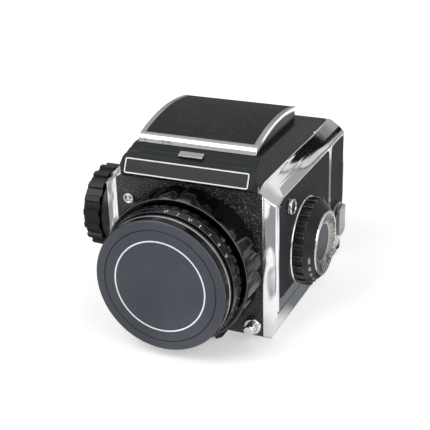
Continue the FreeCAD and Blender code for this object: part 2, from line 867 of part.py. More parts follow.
def front_fittings():
    collar = rod_y(release_collar_r, -release_collar_t, leather_t, release_x, release_z)
    collar = bevelled_front(collar, -release_collar_t, release_bevel)
    bore = rod_y(release_r + running_gap, -release_collar_t - through, leather_t + through,
                 release_x, release_z)
    save("release_collar", collar.cut(bore))
    button_rear = release_bore_depth - release_travel - release_spring_room
    button = rod_y(release_r, release_front, button_rear, release_x, release_z)
    save("release_button", bevelled_front(button, release_front, release_bevel))
    terminal = rod_y(flash_r, -flash_t, leather_t, flash_x, flash_z)
    terminal = terminal.cut(rod_y(flash_r - flash_wall, -flash_t - through, -flash_t / 4, flash_x, flash_z))
    save("flash_terminal", terminal.fuse(rod_y(flash_pin_r, -flash_t, leather_t, flash_x, flash_z)))
    studs = []
    foot = body_half + stud_foot_t
    head = body_half + stud_t - stud_head_t
    face = body_half + stud_t
    for side, y in ((1, dial_side_stud_y), (-1, knob_side_stud_y)):
        stud = turned_x([(body_half, 0), (body_half, stud_r), (foot, stud_r), (foot, stud_neck_r),
                         (head, stud_neck_r), (head, stud_head_r), (face, stud_head_r - stud_head_t / 2),
                         (face, 0)], y, stud_z)
        studs.append(stud if side > 0 else both_sides(stud)[1])
    save("strap_studs", *studs)


def shutter_dial():
    """Speed dial on its shaft, with the base ring under it and the dished hub on its face."""
    base_face = body_half + dial_base_t
    foot_bore = dial_shaft_r + through
    base_ring = turned_x([(body_half, foot_bore), (body_half, dial_base_r),
                          (base_face - dial_edge, dial_base_r), (base_face, dial_base_r - dial_edge),
                          (base_face, foot_bore)], dial_y, dial_z)
    save("dial_base_ring", base_ring)
    back = base_face + free_gap
    band_face = back + dial_band
    floor = dial_face - dial_dish
    hub_r = dial_hub_r - free_gap
    dial = turned_x([(dial_shaft_end, 0), (dial_shaft_end, dial_shaft_r), (back, dial_shaft_r),
                     (back, dial_r), (band_face, dial_r), (dial_face, dial_hub_r + dial_edge),
                     (dial_face, dial_hub_r),
                     (floor, dial_hub_r - wall_fit), (floor, 0)], dial_y, dial_z)
    rib = box(back + dial_edge, band_face, dial_y - dial_rib_w / 2, dial_y + dial_rib_w / 2,
              dial_z + dial_r - through, dial_z + dial_r + dial_rib_h)
    ribs = [about_x(rib, 360 * k / dial_ribs, dial_y, dial_z) for k in range(dial_ribs)]
    save("shutter_dial", dial.multiFuse(ribs))
    rim_face = dial_face + dial_hub_t
    seat = floor + dial_disc_t + dial_edge / 5
    hub = turned_x([(floor, dial_disc_r), (floor, hub_r), (rim_face, hub_r), (rim_face, hub_r - dial_hub_rim),
                    (seat, dial_disc_r + dial_hub_rim / 2), (seat, dial_disc_r)], dial_y, dial_z)
    save("dial_hub_ring", hub)
    save("dial_disc", rod_x(dial_disc_r - wall_fit, floor, floor + dial_disc_t, dial_y, dial_z))


def wind_knob():
    """Ribbed knob with a slotted face, the crank that folds into it, and the crank's handle."""
    foot_bore = knob_shaft_r + through
    base_disc = turned_x([(-body_half, foot_bore), (-body_half, knob_base_r),
                          (knob_edge - knob_base_face, knob_base_r),
                          (-knob_base_face, knob_base_r - knob_edge),
                          (-knob_base_face, foot_bore)], knob_y, knob_z)
    save("knob_base_disc", base_disc)
    knob = turned_x([(-knob_shaft_end, 0), (-knob_shaft_end, knob_shaft_r), (-knob_back, knob_shaft_r),
                     (-knob_back, knob_r), (knob_bevel - knob_face, knob_r),
                     (-knob_face, knob_r - knob_bevel), (-knob_face, 0)], knob_y, knob_z)
    rib_foot = knob_z + knob_r - through
    rib_top = knob_z + knob_r + knob_rib_h
    rib = prism_yz([(knob_y - knob_rib_w / 2, rib_foot), (knob_y + knob_rib_w / 2, rib_foot),
                    (knob_y + knob_rib_w / 3, rib_top), (knob_y - knob_rib_w / 3, rib_top)],
                   knob_bevel - knob_face, -knob_back)
    knob = knob.multiFuse([about_x(rib, 360 * k / knob_ribs, knob_y, knob_z) for k in range(knob_ribs)])
    half = crank_half_w + crank_slot_play
    pivot_z = knob_z + crank_pivot
    tip_z = pivot_z + crank_reach
    outer = -knob_face - through
    inner = -knob_face + crank_lift
    floor = inner + crank_t + crank_slot_play
    slot = box(outer, floor, knob_y - half, knob_y + half, pivot_z - crank_eye_r - crank_slot_play, tip_z)
    slot = slot.fuse(rod_x(half, outer, floor, knob_y, tip_z))
    pocket_end = inner + crank_t + handle_length + handle_play
    knob = knob.cut(slot).cut(rod_x(half, -knob_face, pocket_end, knob_y, tip_z))
    pin_x = -knob_face - crank_lift
    ear_y = knob_y + half
    ear_end = ear_y + crank_ear_t
    ear = box(pin_x, floor, ear_y, ear_end, pivot_z - crank_ear_t, pivot_z + crank_ear_t)
    lug = rod_y(crank_eye_r, ear_y, ear_end, pin_x, pivot_z)
    span = -2 * half - crank_ear_t
    pin = rod_y(crank_pin_r, knob_y - half - crank_ear_t, ear_end, pin_x, pivot_z)
    knob = knob.multiFuse([lug, moved(lug, 0, span, 0), ear, moved(ear, 0, span, 0), pin])
    save("wind_knob", knob)

    arm = box(inner, inner + crank_t, knob_y - crank_half_w, knob_y + crank_half_w, pivot_z, tip_z)
    arm = arm.fuse(rod_x(crank_half_w, inner, inner + crank_t, knob_y, tip_z))
    arm = arm.fuse(rod_y(crank_eye_r, knob_y - crank_half_w, knob_y + crank_half_w, pin_x, pivot_z))
    arm = arm.cut(rod_y(crank_pin_r + running_gap, knob_y - half, knob_y + half, pin_x, pivot_z))
    arm = arm.cut(rod_x(handle_pin_r + running_gap, outer, inner + crank_t + through, knob_y, tip_z))
    save("crank_arm", arm)
    handle_foot = inner + crank_t + crank_lift
    handle_end = inner + crank_t + handle_length
    handle = turned_x([(inner + free_gap, 0), (inner + free_gap, handle_pin_r), (handle_foot, handle_pin_r),
                       (handle_foot, handle_foot_r), (handle_foot + 2 * handle_play, handle_r),
                       (handle_end - 2 * handle_play, handle_r), (handle_end, handle_foot_r),
                       (handle_end, 0)], knob_y, tip_z)
    save("crank_handle", handle)


def slope_point(share, out):
    """Point (y, z) on the finder's front slope, share of the way up from the nameplate, raised by out."""
    y0, z0 = visor_top
    y1, z1 = hood_front, hood_top
    length = math.hypot(y1 - y0, z1 - z0)
    ny, nz = -(z1 - z0) / length, (y1 - y0) / length
    return y0 + (y1 - y0) * share + ny * out, z0 + (z1 - z0) * share + nz * out


def hood_base():
    """Casting that carries the hood: sloping sides, ribbed front slope and visor."""
    front = [visor_chin, visor_low, visor_top]
    for k in range(slope_steps):
        share = (k + slope_step_start) / slope_steps
        front.append(slope_point(share, 0))
        front.append(slope_point(share + slope_step_share, -slope_step_depth))
    low = visor_chin[1] - through
    outline = front + [(hood_front, hood_top), (hood_rear, hood_top), (hood_rear_low, body_top),
                       (leather_t, body_top), (leather_t, visor_chin[1])]
    casting = prism_yz(outline, -body_half, body_half)
    low_half = hood_low_half + hood_side_slope * (body_top - low) / hood_height
    tip = visor_low[0] - through
    casting = casting.common(prism_xz([(-low_half, low), (low_half, low), (hood_top_half, hood_top),
                                       (-hood_top_half, hood_top)], tip, body_depth))
    cheek = visor_half + visor_cheek
    cheek_y = tip + visor_cheek_slope * visor_cheek
    half_plan = [(visor_half, tip), (cheek, cheek_y), (low_half, visor_depth), (low_half, body_depth)]
    plan = half_plan + [(-x, y) for x, y in reversed(half_plan)]
    casting = casting.common(prism_xy(plan, low, hood_top))
    casting = casting.cut(box(-well_half, well_half, well_front, well_rear, low, hood_top + through))
    hinge_room = lid_knuckle_r + free_gap
    room_half = lid_hinge_half + free_gap
    casting = casting.cut(rod_x(hinge_room, -room_half, room_half, lid_hinge_y, lid_hinge_z))
    pin_half = lid_hinge_half + free_gap + lid_lug_t
    post = box(room_half, pin_half, lid_hinge_y - lid_knuckle_r, lid_hinge_y + lid_knuckle_r,
               hood_top - through, lid_hinge_z)
    post = post.fuse(rod_x(lid_knuckle_r, room_half, pin_half, lid_hinge_y, lid_hinge_z))
    casting = casting.multiFuse(both_sides(post))
    casting = casting.cut(rod_x(lid_pin_r + wall_fit, -pin_half, pin_half, lid_hinge_y, lid_hinge_z))
    save("hood_base", casting)
    save("lid_hinge_pin", rod_x(lid_pin_r, -pin_half, pin_half, lid_hinge_y, lid_hinge_z))


def nameplate():
    """Bare plate on the visor, laid flat along the visor's face."""
    (y1, z1), (y0, z0) = visor_top, visor_low
    height = math.hypot(y1 - y0, z1 - z0)
    plate = box(-plate_half, plate_half, -plate_t, 0, plate_margin, height - plate_margin)
    plate = plate.makeFillet(plate_corner, edges_along(plate, "y"))
    plate = about_x(plate, -math.degrees(math.atan2(y1 - y0, z1 - z0)), 0, 0)
    save("nameplate", moved(plate, 0, y0, z0))


def hood_catch():
    """Sliding catch that lies on the front slope."""
    low_y, low_z = slope_point(catch_low, 0)
    high_y, high_z = slope_point(catch_high, 0)
    length = math.hypot(high_y - low_y, high_z - low_z)
    catch = box(-catch_half, catch_half, 0, length, free_gap, free_gap + catch_t)
    catch = about_x(catch, math.degrees(math.atan2(high_z - low_z, high_y - low_y)), 0, 0)
    save("hood_catch", moved(catch, 0, low_y, low_z))


def screen_block(inset, low, top):
    """Block within the screen's pocket, inset from its walls."""
    half = screen_frame_half - wall_fit - inset
    front = screen_frame_front + wall_fit + inset
    return box(-half, half, front, screen_frame_rear - wall_fit - inset, low, top)


def focusing_screen():
    seat = screen_seat_z
    top = body_top - screen_drop
    ledge = seat + screen_lip_t
    frame = screen_block(0, seat, top).cut(screen_block(screen_lip, seat, top))
    save("screen_frame", frame.cut(screen_block(screen_rebate, ledge, top)))
    save("focusing_screen", screen_block(screen_rebate + wall_fit, ledge, top))


def hood_panels():
    """Three leaves that lie flat in the well: two from the sides, then one from the front."""
    h = side_panel_height
    x0 = side_panel_x
    outline = [(x0, side_panel_front), (x0, side_panel_rear),
               (x0 - h, min(side_panel_rear, lid_hinge_y - h)), (x0 - h, front_panel_y + h)]
    leaf = prism_xy(outline, side_panel_z - panel_t / 2, side_panel_z + panel_t / 2)
    leaf = leaf.fuse(rod_y(panel_knuckle_r, side_panel_front, side_panel_rear, x0, side_panel_z))
    save("dial_side_panel", leaf)
    save("knob_side_panel", both_sides(leaf)[1])
    front = box(-front_panel_half, front_panel_half, front_panel_y, front_panel_y + front_panel_height,
                front_panel_z - panel_t / 2, front_panel_z + panel_t / 2)
    knuckle = rod_x(panel_knuckle_r, -front_panel_half, front_panel_half, front_panel_y, front_panel_z)
    save("front_panel", front.fuse(knuckle))


def lid_outline(drop):
    """Side view of the lid: upright front, crowned top, upright rear, lowered by drop."""
    front_top = vec(0, lid_front_top[0] + drop, lid_front_top[1] - drop)
    crown = vec(0, lid_crown[0], lid_crown[1] - drop)
    rear_top = vec(0, lid_rear_top[0] - drop, lid_rear_top[1] - drop)
    low_front = vec(0, lid_front + drop, lid_low)
    low_rear = vec(0, lid_rear - drop, lid_low)
    edges = [Part.LineSegment(low_front, front_top).toShape(), Part.Arc(front_top, crown, rear_top).toShape(),
             Part.LineSegment(rear_top, low_rear).toShape(), Part.LineSegment(low_rear, low_front).toShape()]
    return Part.Face(Part.Wire(edges))


def lid_slab(drop, half):
    """Slab with the lid's outline, from x = -half to x = half."""
    slab = lid_outline(drop).extrude(vec(2 * half, 0, 0))
    slab.translate(vec(-half, 0, 0))
    return slab


def hood_lid():
    """Crowned lid: chrome front bar and side rims, the pressed shell between them, and its leather."""
    bar_rear = lid_front + rim_front_w
    above = lid_crown[1] + through
    full = lid_slab(0, lid_half)
    behind_bar = box(-lid_half, lid_half, bar_rear, lid_rear, lid_low - through, above)
    rim = full.cut(lid_slab(0, lid_half - rim_w).common(behind_bar))
    under = lid_slab(rim_h, lid_half).common(behind_bar)
    under = under.fuse(box(-lid_half, lid_half, lid_rear_top[0] - rim_h, lid_rear + through,
                           lid_low - through, lid_rear_top[1] - rim_h))
    inner_half = lid_half - lid_wall
    inner = lid_slab(lid_roof, inner_half)
    inner = inner.fuse(box(-inner_half, inner_half, lid_front + lid_roof, lid_rear - lid_roof,
                           lid_low - through, lid_low + 2 * through))
    rim = rim.cut(under).cut(inner)
    front_top_y, front_top_z = lid_front_top
    rolled = [e for e in edges_along(rim, "x") if abs(e.BoundBox.YMin - front_top_y) < wall_fit
              and abs(e.BoundBox.ZMin - front_top_z) < wall_fit]
    rim = rim.makeFillet(rim_front_round, rolled)
    save("lid_rim", rim)

    shell_half = lid_half - lid_shell_inset
    under_skin = lid_slab(lid_leather_t, lid_half)
    shell = lid_slab(0, shell_half).common(under_skin).cut(inner).cut(rim)
    lug_room = lid_lug_t + 2 * free_gap
    for x in (-lid_hinge_half - lug_room, lid_hinge_half):
        shell = shell.cut(box(x, x + lug_room, lid_hinge_y - lid_knuckle_r - free_gap, lid_rear + through,
                              lid_low - through, lid_hinge_z + lid_knuckle_r + free_gap))
    knuckle = rod_x(lid_knuckle_r, -lid_hinge_half, lid_hinge_half, lid_hinge_y, lid_hinge_z)
    web = box(-lid_hinge_half, lid_hinge_half, lid_hinge_y - lid_knuckle_r, lid_hinge_y, lid_hinge_z,
              lid_rear_top[1]).common(under_skin)
    y = lid_hinge_y - magnifier_reach
    lug_x = magnifier_half + free_gap
    lug = box(lug_x, lug_x + magnifier_lug_w, y - magnifier_lug_r, y + magnifier_lug_r,
              magnifier_z, lid_crown[1]).common(under_skin)
    lug = lug.fuse(rod_x(magnifier_lug_r, lug_x, lug_x + magnifier_lug_w, y, magnifier_z))
    shell = shell.multiFuse([knuckle, web] + both_sides(lug))
    bore_half = lug_x + 2 * magnifier_lug_w
    shell = shell.cut(rod_x(lid_pin_r + running_gap, -lid_half, lid_half, lid_hinge_y, lid_hinge_z))
    shell = shell.cut(rod_x(magnifier_pin_r + running_gap, -bore_half, bore_half, y, magnifier_z))
    save("hood_lid", shell)

    cover_half = lid_half - rim_w - wall_fit
    cover = lid_slab(0, cover_half).cut(lid_slab(lid_leather_t, lid_half))
    cover = cover.common(box(-lid_half, lid_half, bar_rear + wall_fit, lid_rear_top[0] - through,
                             lid_hinge_z + lid_knuckle_r, above))
    save("lid_leather", cover)


def magnifier():
    y = lid_hinge_y - magnifier_reach
    half_t = magnifier_t / 2
    low = magnifier_z - half_t
    high = magnifier_z + half_t
    frame = box(-magnifier_half, magnifier_half, y - magnifier_length, y, low, high)
    frame = frame.fuse(rod_x(magnifier_knuckle_r, -magnifier_half, magnifier_half, y, magnifier_z))
    pin_half = magnifier_half + free_gap + magnifier_lug_w
    frame = frame.fuse(rod_x(magnifier_pin_r, -pin_half, pin_half, y, magnifier_z))
    centre = y - magnifier_length / 2 - magnifier_pin_r
    save("magnifier_frame", frame.cut(rod_z(magnifier_lens_r, low, high, 0, centre)))
    save("magnifier_glass", rod_z(magnifier_lens_r - wall_fit, low, high, 0, centre))


def magazine_cover(play, outer):
    """Side covering of the magazine, smaller than its bed by play."""
    border = magazine_border + play
    return side_cover(magazine_front + border, magazine_rear - border, body_half - leather_sink, outer)


def top_cover(play, top):
    """Covering on the magazine's top, smaller than its bed by play."""
    border = magazine_top_border + play
    half = shoulder_half - border
    cover = box(-half, half, magazine_front + border, magazine_rear - border, body_top - leather_sink, top)
    return cover.makeFillet(leather_corner, edges_along(cover, "z"))


def slide_room(play):
    """Space on the knob's side that the dark slide's grip leaves free of covering."""
    rear = magazine_front + slide_from_front + slide_grip_t + magazine_border + play
    return box(body_half - leather_sink - through, body_half + 2 * through, magazine_front, rear, 0, body_top)


def key_hole(r):
    return rod_x(r, body_half - leather_sink - through, body_half + 2 * through, key_y, key_z)


def magazine():
    """Shell with the film well, its frame of light, the dark slide's slot and the door's lugs."""
    inner = magazine_front + magazine_plate_t
    slot_y = magazine_front + slide_from_front
    slot_half = slide_half + slide_play
    shell = casting_block(0, magazine_front, magazine_rear)
    bed = magazine_cover(0, body_half + through)
    cuts = [
        box(-film_well_half, film_well_half, inner, magazine_rear, film_well_low, film_well_high),
        box(-film_half, film_half, magazine_front, inner, lens_z - film_half, lens_z + film_half),
        box(-body_half - through, slide_tip + slide_play, slot_y, slot_y + slide_t + 2 * slide_play,
            lens_z - slot_half, lens_z + slot_half),
        rod_x(key_shaft_r + running_gap, body_half - key_shaft - free_gap, body_half + through, key_y, key_z),
        bed.cut(key_hole(key_neck_r + wall_fit)),
        both_sides(bed.cut(slide_room(0)))[1],
        top_cover(0, body_top + through),
    ]
    stub = film_well_half + spool_stub + free_gap
    for z in (spool_low_z, spool_high_z):
        cuts.append(rod_x(spool_stub_r + running_gap, -stub, stub, spool_y, z))
    for cut in cuts:
        shell = shell.cut(cut)
    for z in (door_lug_low, door_lug_high):
        top = z + door_lug_height
        lug = box(-door_hinge_x - door_hinge_r, -door_hinge_x + door_hinge_r,
                  magazine_rear - through, door_hinge_y, z, top)
        shell = shell.fuse(lug.fuse(rod_z(door_hinge_r, z, top, -door_hinge_x, door_hinge_y)))
    save("magazine_shell", shell.cut(door_pin(door_pin_r + wall_fit)))
    cover = magazine_cover(wall_fit, body_half - leather_sink + leather_t)
    save("magazine_leathers", cover.cut(key_hole(key_neck_r + 2 * wall_fit)),
         both_sides(cover.cut(slide_room(wall_fit)))[1],
         top_cover(wall_fit, body_top - leather_sink + leather_t))


def dark_slide():
    slot_y = magazine_front + slide_from_front + slide_play
    blade = box(-body_half - through, slide_tip, slot_y, slot_y + slide_t,
                lens_z - slide_half, lens_z + slide_half)
    grip_x = -body_half - free_gap
    grip_y = slot_y + slide_t / 2
    grip = box(grip_x - slide_grip, grip_x, grip_y - slide_grip_t / 2, grip_y + slide_grip_t / 2,
               lens_z - slide_half, lens_z + slide_half)
    save("dark_slide", blade.fuse(grip))


def door_pin(r):
    return rod_z(r, door_lug_low, door_lug_high + door_lug_height, -door_hinge_x, door_hinge_y)


def magazine_door():
    """Domed rear door on a pin along the dark slide's side."""
    rear = magazine_rear + free_gap
    low = film_well_low - door_overlap
    high = film_well_high + door_overlap / 2
    half = [(door_half - door_corner, low), (door_half, low + door_corner),
            (door_half, shoulder_z - through), (shoulder_half - through, high)]
    outline = [(-x, z) for x, z in half] + [(x, z) for x, z in reversed(half)]
    dome = prism_xz(outline, rear, door_rear)
    dome = dome.makeChamfer(door_chamfer, [e for e in dome.Edges if e.BoundBox.YMin > door_rear - wall_fit])
    dome = dome.cut(box(-film_well_half, film_well_half, rear, door_rear - door_t,
                        film_well_low + door_t, film_well_high - door_t))
    room = door_hinge_r + free_gap
    for z in (door_lug_low, door_lug_high):
        dome = dome.cut(box(-body_half, room - door_hinge_x, rear, door_hinge_y + room,
                            z - free_gap, z + door_lug_height + free_gap))
    barrel_low = door_lug_low + door_lug_height + free_gap
    dome = dome.fuse(rod_z(door_hinge_r, barrel_low, door_lug_high - free_gap, -door_hinge_x, door_hinge_y))
    save("magazine_door", dome.cut(door_pin(door_pin_r + running_gap)))
    save("door_pin", door_pin(door_pin_r))


def spools():
    end = spool_half
    stub = film_well_half + spool_stub
    core = end - spool_flange_t
    for name, z in (("supply_spool", spool_low_z), ("take_up_spool", spool_high_z)):
        spool = turned_x([(-stub, 0), (-stub, spool_stub_r), (-end, spool_stub_r), (-end, spool_r),
                          (-core, spool_r), (-core, spool_core_r), (core, spool_core_r), (core, spool_r),
                          (end, spool_r), (end, spool_stub_r), (stub, spool_stub_r), (stub, 0)], spool_y, z)
        save(name, spool)
    plate_y = magazine_front + magazine_plate_t + free_gap
    save("pressure_plate", box(-pressure_half, pressure_half, plate_y, plate_y + pressure_t,
                               lens_z - pressure_half_height, lens_z + pressure_half_height))


def magazine_key():
    """Winding key: a round foot, a neck, and a grip with two flats."""
    x0 = body_half + free_gap
    foot = x0 + key_disc_t
    neck = foot + key_neck
    face = neck + key_wing_t
    key = turned_x([(x0 - key_shaft, 0), (x0 - key_shaft, key_shaft_r), (x0, key_shaft_r), (x0, key_r),
                    (foot, key_r), (foot, key_neck_r), (face, key_neck_r), (face, 0)], key_y, key_z)
    grip = rod_x(key_wing_r, neck, face, key_y, key_z)
    grip = grip.common(box(neck, face, key_y - key_wing_half, key_y + key_wing_half,
                           key_z - key_r, key_z + key_r))
    save("magazine_key", key.fuse(grip))


os.makedirs("parts", exist_ok=True)
save("body_shell", body_shell())
coverings()
base()
shutter()
mirror()
helicoid()
lens_unit()
iris()
aperture_ring()
lens_cap()
lock_tab()
front_fittings()
shutter_dial()
wind_knob()
hood_base()
nameplate()
hood_catch()
focusing_screen()
hood_panels()
hood_lid()
magnifier()
magazine()
dark_slide()
magazine_door()
spools()
magazine_key()
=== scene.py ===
import bpy
import bmesh
import json
import math
from mathutils import Matrix, Quaternion, Vector


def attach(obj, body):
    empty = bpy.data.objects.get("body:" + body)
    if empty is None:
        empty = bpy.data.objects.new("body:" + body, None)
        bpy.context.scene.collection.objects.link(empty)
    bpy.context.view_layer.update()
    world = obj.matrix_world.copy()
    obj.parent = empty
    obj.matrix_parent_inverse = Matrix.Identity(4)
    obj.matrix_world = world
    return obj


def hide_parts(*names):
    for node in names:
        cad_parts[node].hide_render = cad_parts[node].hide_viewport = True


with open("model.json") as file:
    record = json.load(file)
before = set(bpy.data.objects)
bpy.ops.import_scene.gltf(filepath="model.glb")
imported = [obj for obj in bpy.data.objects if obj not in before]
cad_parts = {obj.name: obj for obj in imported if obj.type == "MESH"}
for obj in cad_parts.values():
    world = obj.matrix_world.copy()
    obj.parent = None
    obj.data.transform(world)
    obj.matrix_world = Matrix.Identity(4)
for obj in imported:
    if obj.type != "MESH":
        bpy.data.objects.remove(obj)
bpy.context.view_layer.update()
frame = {"nodes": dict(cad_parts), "record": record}
mm = 0.001
socketY = 42.0  # the front leather's face lies this far in front of the tripod socket


def row(x, y, z):  # a point measured from the front leather's face, in the frame's metres
    return Vector((x * mm, (y - socketY) * mm, z * mm))


lensAxis = row(0, 0, 40.2)
dialAxis = row(0, 40.1, 40.1)

# camera, matched to the photograph
shot = {"eye": (212.08, -445.04, 281.05), "target": (4.08, 23.96, 54.13), "lens": 89.8, "roll": -1.53,
        "clip": (0.01, 20)}


def addCamera():
    eye = row(*shot["eye"])
    look = row(*shot["target"]) - eye
    bpy.ops.object.camera_add(location=eye)
    camera = bpy.context.object
    camera.rotation_mode = "QUATERNION"
    turn = Quaternion((0, 0, 1), math.radians(shot["roll"]))
    camera.rotation_quaternion = look.to_track_quat("-Z", "Y") @ turn
    camera.data.lens = shot["lens"]
    camera.data.clip_start, camera.data.clip_end = shot["clip"]
    bpy.context.scene.camera = camera


addCamera()
print("stage: camera")


# shader maths: a wrapped socket takes + - * and /
class Sock:
    def __init__(self, tree, socket):
        self.tree = tree
        self.socket = socket

    def math(self, operation, *others):
        inputs = {i: v for i, v in enumerate((self,) + others)}
        return self.tree.node("ShaderNodeMath", {"operation": operation}, inputs)

    def __add__(self, other):
        return self.math("ADD", other)

    __radd__ = __add__

    def __mul__(self, other):
        return self.math("MULTIPLY", other)

    __rmul__ = __mul__

    def __sub__(self, other):
        return self.math("SUBTRACT", other)

    def __rsub__(self, other):
        return self * -1.0 + other

    def __truediv__(self, other):
        return self.math("DIVIDE", other)

    def clamped(self, low, high):
        return self.math("MAXIMUM", low).math("MINIMUM", high)

    def ramp(self, low, high, toLow=0.0, toHigh=1.0):
        return self.tree.node("ShaderNodeMapRange", {"interpolation_type": "SMOOTHSTEP"},
                              {0: self, 1: low, 2: high, 3: toLow, 4: toHigh})

    def band(self, rise, fall):  # 1 between two soft edges
        return self.ramp(*rise) * (1.0 - self.ramp(*fall))


class Shading:  # nodes of a material or of the world, on one coordinate
    def __init__(self, tree, coordinate):
        self.tree = tree
        self.coordinate = self.node("ShaderNodeTexCoord", {}, {}, coordinate)

    def node(self, kind, settings, inputs, output=0):
        made = self.tree.nodes.new(kind)
        for key, value in settings.items():
            setattr(made, key, value)
        for key, value in inputs.items():
            self.feed(made.inputs[key], value)
        return Sock(self, made.outputs[output])

    def feed(self, socket, value):
        if isinstance(value, Sock):
            self.tree.links.new(value.socket, socket)
        else:
            socket.default_value = value

    def noise(self, scale, detail=3.0, roughness=0.5, stretch=None):
        where = self.coordinate
        if stretch:
            where = self.node("ShaderNodeMapping", {}, {"Vector": where, "Scale": stretch})
        return self.node("ShaderNodeTexNoise", {}, {"Vector": where, "Scale": scale, "Detail": detail,
                                                    "Roughness": roughness})

    def cells(self, scale):
        return self.node("ShaderNodeTexVoronoi", {"feature": "F1"},
                         {"Vector": self.coordinate, "Scale": scale}, "Distance")

    def blend(self, factor, colourA, colourB):
        return self.node("ShaderNodeMix", {"data_type": "RGBA"}, {0: factor, 6: colourA, 7: colourB}, 2)

    def ray(self, kind):  # 1 for rays of one kind
        return self.node("ShaderNodeLightPath", {}, {}, f"Is {kind} Ray")


class Finish(Shading):
    def __init__(self, name, specular=0.5):
        self.material = bpy.data.materials.new(name)
        self.material.use_nodes = True
        super().__init__(self.material.node_tree, "Object")
        self.shader = self.tree.nodes["Principled BSDF"]
        self.shader.inputs["Specular IOR Level"].default_value = specular

    def put(self, **values):
        for key, value in values.items():
            self.feed(self.shader.inputs[key.replace("_", " ")], value)

    def bump(self, height, distance):
        inputs = {"Strength": 1.0, "Distance": distance, "Height": height}
        self.put(Normal=self.node("ShaderNodeBump", {}, inputs))


def rgb(r, g, b, share=1.0):
    return (min(r * share, 1.0), min(g * share, 1.0), min(b * share, 1.0), 1.0)


def grey(level):
    return rgb(level, level, level)


# finishes: colours are linear, scales are per metre, depths are in metres
chromes = {
    "chrome": {"tint": (0.80, 0.80, 0.82), "rough": (0.04, 0.12), "wave": 0.00060, "hair": 0.0},
    "shoulder": {"tint": (0.80, 0.80, 0.82), "rough": (0.03, 0.08), "wave": 0.00003, "hair": 0.0},
    "polished": {"tint": (0.72, 0.72, 0.74), "rough": (0.05, 0.12), "wave": 0.00020, "hair": 0.0},
    "satin_chrome": {"tint": (0.62, 0.62, 0.64), "rough": (0.22, 0.36), "wave": 0.0001, "hair": 0.000012},
    "brushed": {"tint": (0.44, 0.44, 0.45), "rough": (0.26, 0.40), "wave": 0.00005, "hair": 0.00002},
    "brightLine": {"tint": (0.88, 0.88, 0.89), "rough": (0.30, 0.40), "wave": 0.00001, "hair": 0.0},
    "mirror": {"tint": (0.93, 0.93, 0.94), "rough": (0.02, 0.04), "wave": 0.000002, "hair": 0.0},
    "steel": {"tint": (0.52, 0.52, 0.53), "rough": (0.24, 0.40), "wave": 0.00003, "hair": 0.00001},
    # the dish's dark tint is painted shade for the dark it mirrors; its brown blotches are tarnish
    "dish": {"tint": (0.31, 0.29, 0.27), "rough": (0.16, 0.34), "wave": 0.0005, "hair": 0.00001,
             "stain": (0.07, 0.048, 0.036)},
}
plating = {"cloud": 48.0, "haze": 700.0, "pits": 1900.0, "wave": 62.0, "hair": 90.0, "stain": 95.0,
           "dulled": 0.84, "hairStretch": (40.0, 1.0, 1.0)}


def makeChrome(name, look):  # plated metal: slow waves of the pressed sheet, haze, fine pits
    finish = Finish("metal_" + name)
    cloud = finish.noise(plating["cloud"], 3.0)
    haze = finish.noise(plating["haze"], 2.0)
    pits = finish.noise(plating["pits"], 1.0).ramp(0.70, 0.80)
    low, high = look["rough"]
    finish.put(Metallic=1.0)
    tone = (cloud.ramp(0.38, 0.68) * 0.7 + pits * 0.6).clamped(0.0, 1.0)
    skin = finish.blend(tone, rgb(*look["tint"]), rgb(*look["tint"], share=plating["dulled"]))
    if "stain" in look:  # tarnish in blotches
        blotch = finish.noise(plating["stain"], 4.0, 0.6).ramp(0.46, 0.58)
        skin = finish.blend(blotch, skin, rgb(*look["stain"]))
    finish.put(Base_Color=skin)
    finish.put(Roughness=(cloud.ramp(0.35, 0.75, low, high) + haze * 0.03 + pits * 0.15).clamped(0.02, 1.0))
    height = finish.noise(plating["wave"], 1.0)
    if look["hair"]:  # fine lines of the brushing
        lines = finish.noise(plating["hair"], 3.0, 0.6, plating["hairStretch"])
        height = height + lines * (look["hair"] / look["wave"])
    finish.bump(height, look["wave"])
    return finish.material


leathers = {
    "leatherette": {"colour": (0.030, 0.030, 0.034), "scale": 1150.0, "depth": 0.00008, "speck": 0.10,
                    "rough": 0.62, "specular": 0.20, "valleyShade": 0.75},
    "frontLeather": {"colour": (0.034, 0.034, 0.036), "scale": 900.0, "depth": 0.00045, "speck": 0.34,
                     "rough": 0.34, "specular": 0.70, "valleyShade": 0.12},
    "lidLeather": {"colour": (0.022, 0.0215, 0.0245), "scale": 1150.0, "depth": 0.00010, "speck": 0.18,
                   "rough": 0.60, "specular": 0.20, "valleyShade": 0.75},
}
pebble = {"small": 2.1, "tips": 0.9, "patch": 45.0, "tipColour": (0.42, 0.42, 0.44), "rubbed": 1.5}


def makeLeather(name, look):  # pebbled covering: cells in two sizes, pale tips that are partly wear and partly a painted glint, valleys darkened with painted shade
    finish = Finish("covering_" + name, look["specular"])
    grain = finish.cells(look["scale"])
    small = finish.cells(look["scale"] * pebble["small"])
    height = (1.0 - grain.ramp(0.05, 0.62)) * 0.75 + (1.0 - small.ramp(0.0, 0.6)) * 0.25
    patch = finish.noise(pebble["patch"], 4.0)
    # pale tips on the grain's tops: partly wear, partly a painted glint
    tips = finish.noise(look["scale"] * pebble["tips"], 1.0).ramp(0.48, 0.62) * height.ramp(0.35, 0.80)
    colour = rgb(*look["colour"])
    # the grain's valleys take a darker colour: painted shade
    valleyShade = finish.blend(height.ramp(0.15, 0.75), rgb(*look["colour"], share=look["valleyShade"]), colour)
    rubbed = finish.blend(patch.ramp(0.4, 0.75) * 0.5, valleyShade, rgb(*look["colour"], share=pebble["rubbed"]))
    finish.put(Base_Color=finish.blend(tips * look["speck"], rubbed, rgb(*pebble["tipColour"])))
    finish.put(Roughness=(patch * 0.12 + look["rough"] - height * 0.10).clamped(0.2, 0.9))
    finish.bump(height, look["depth"])
    return finish.material


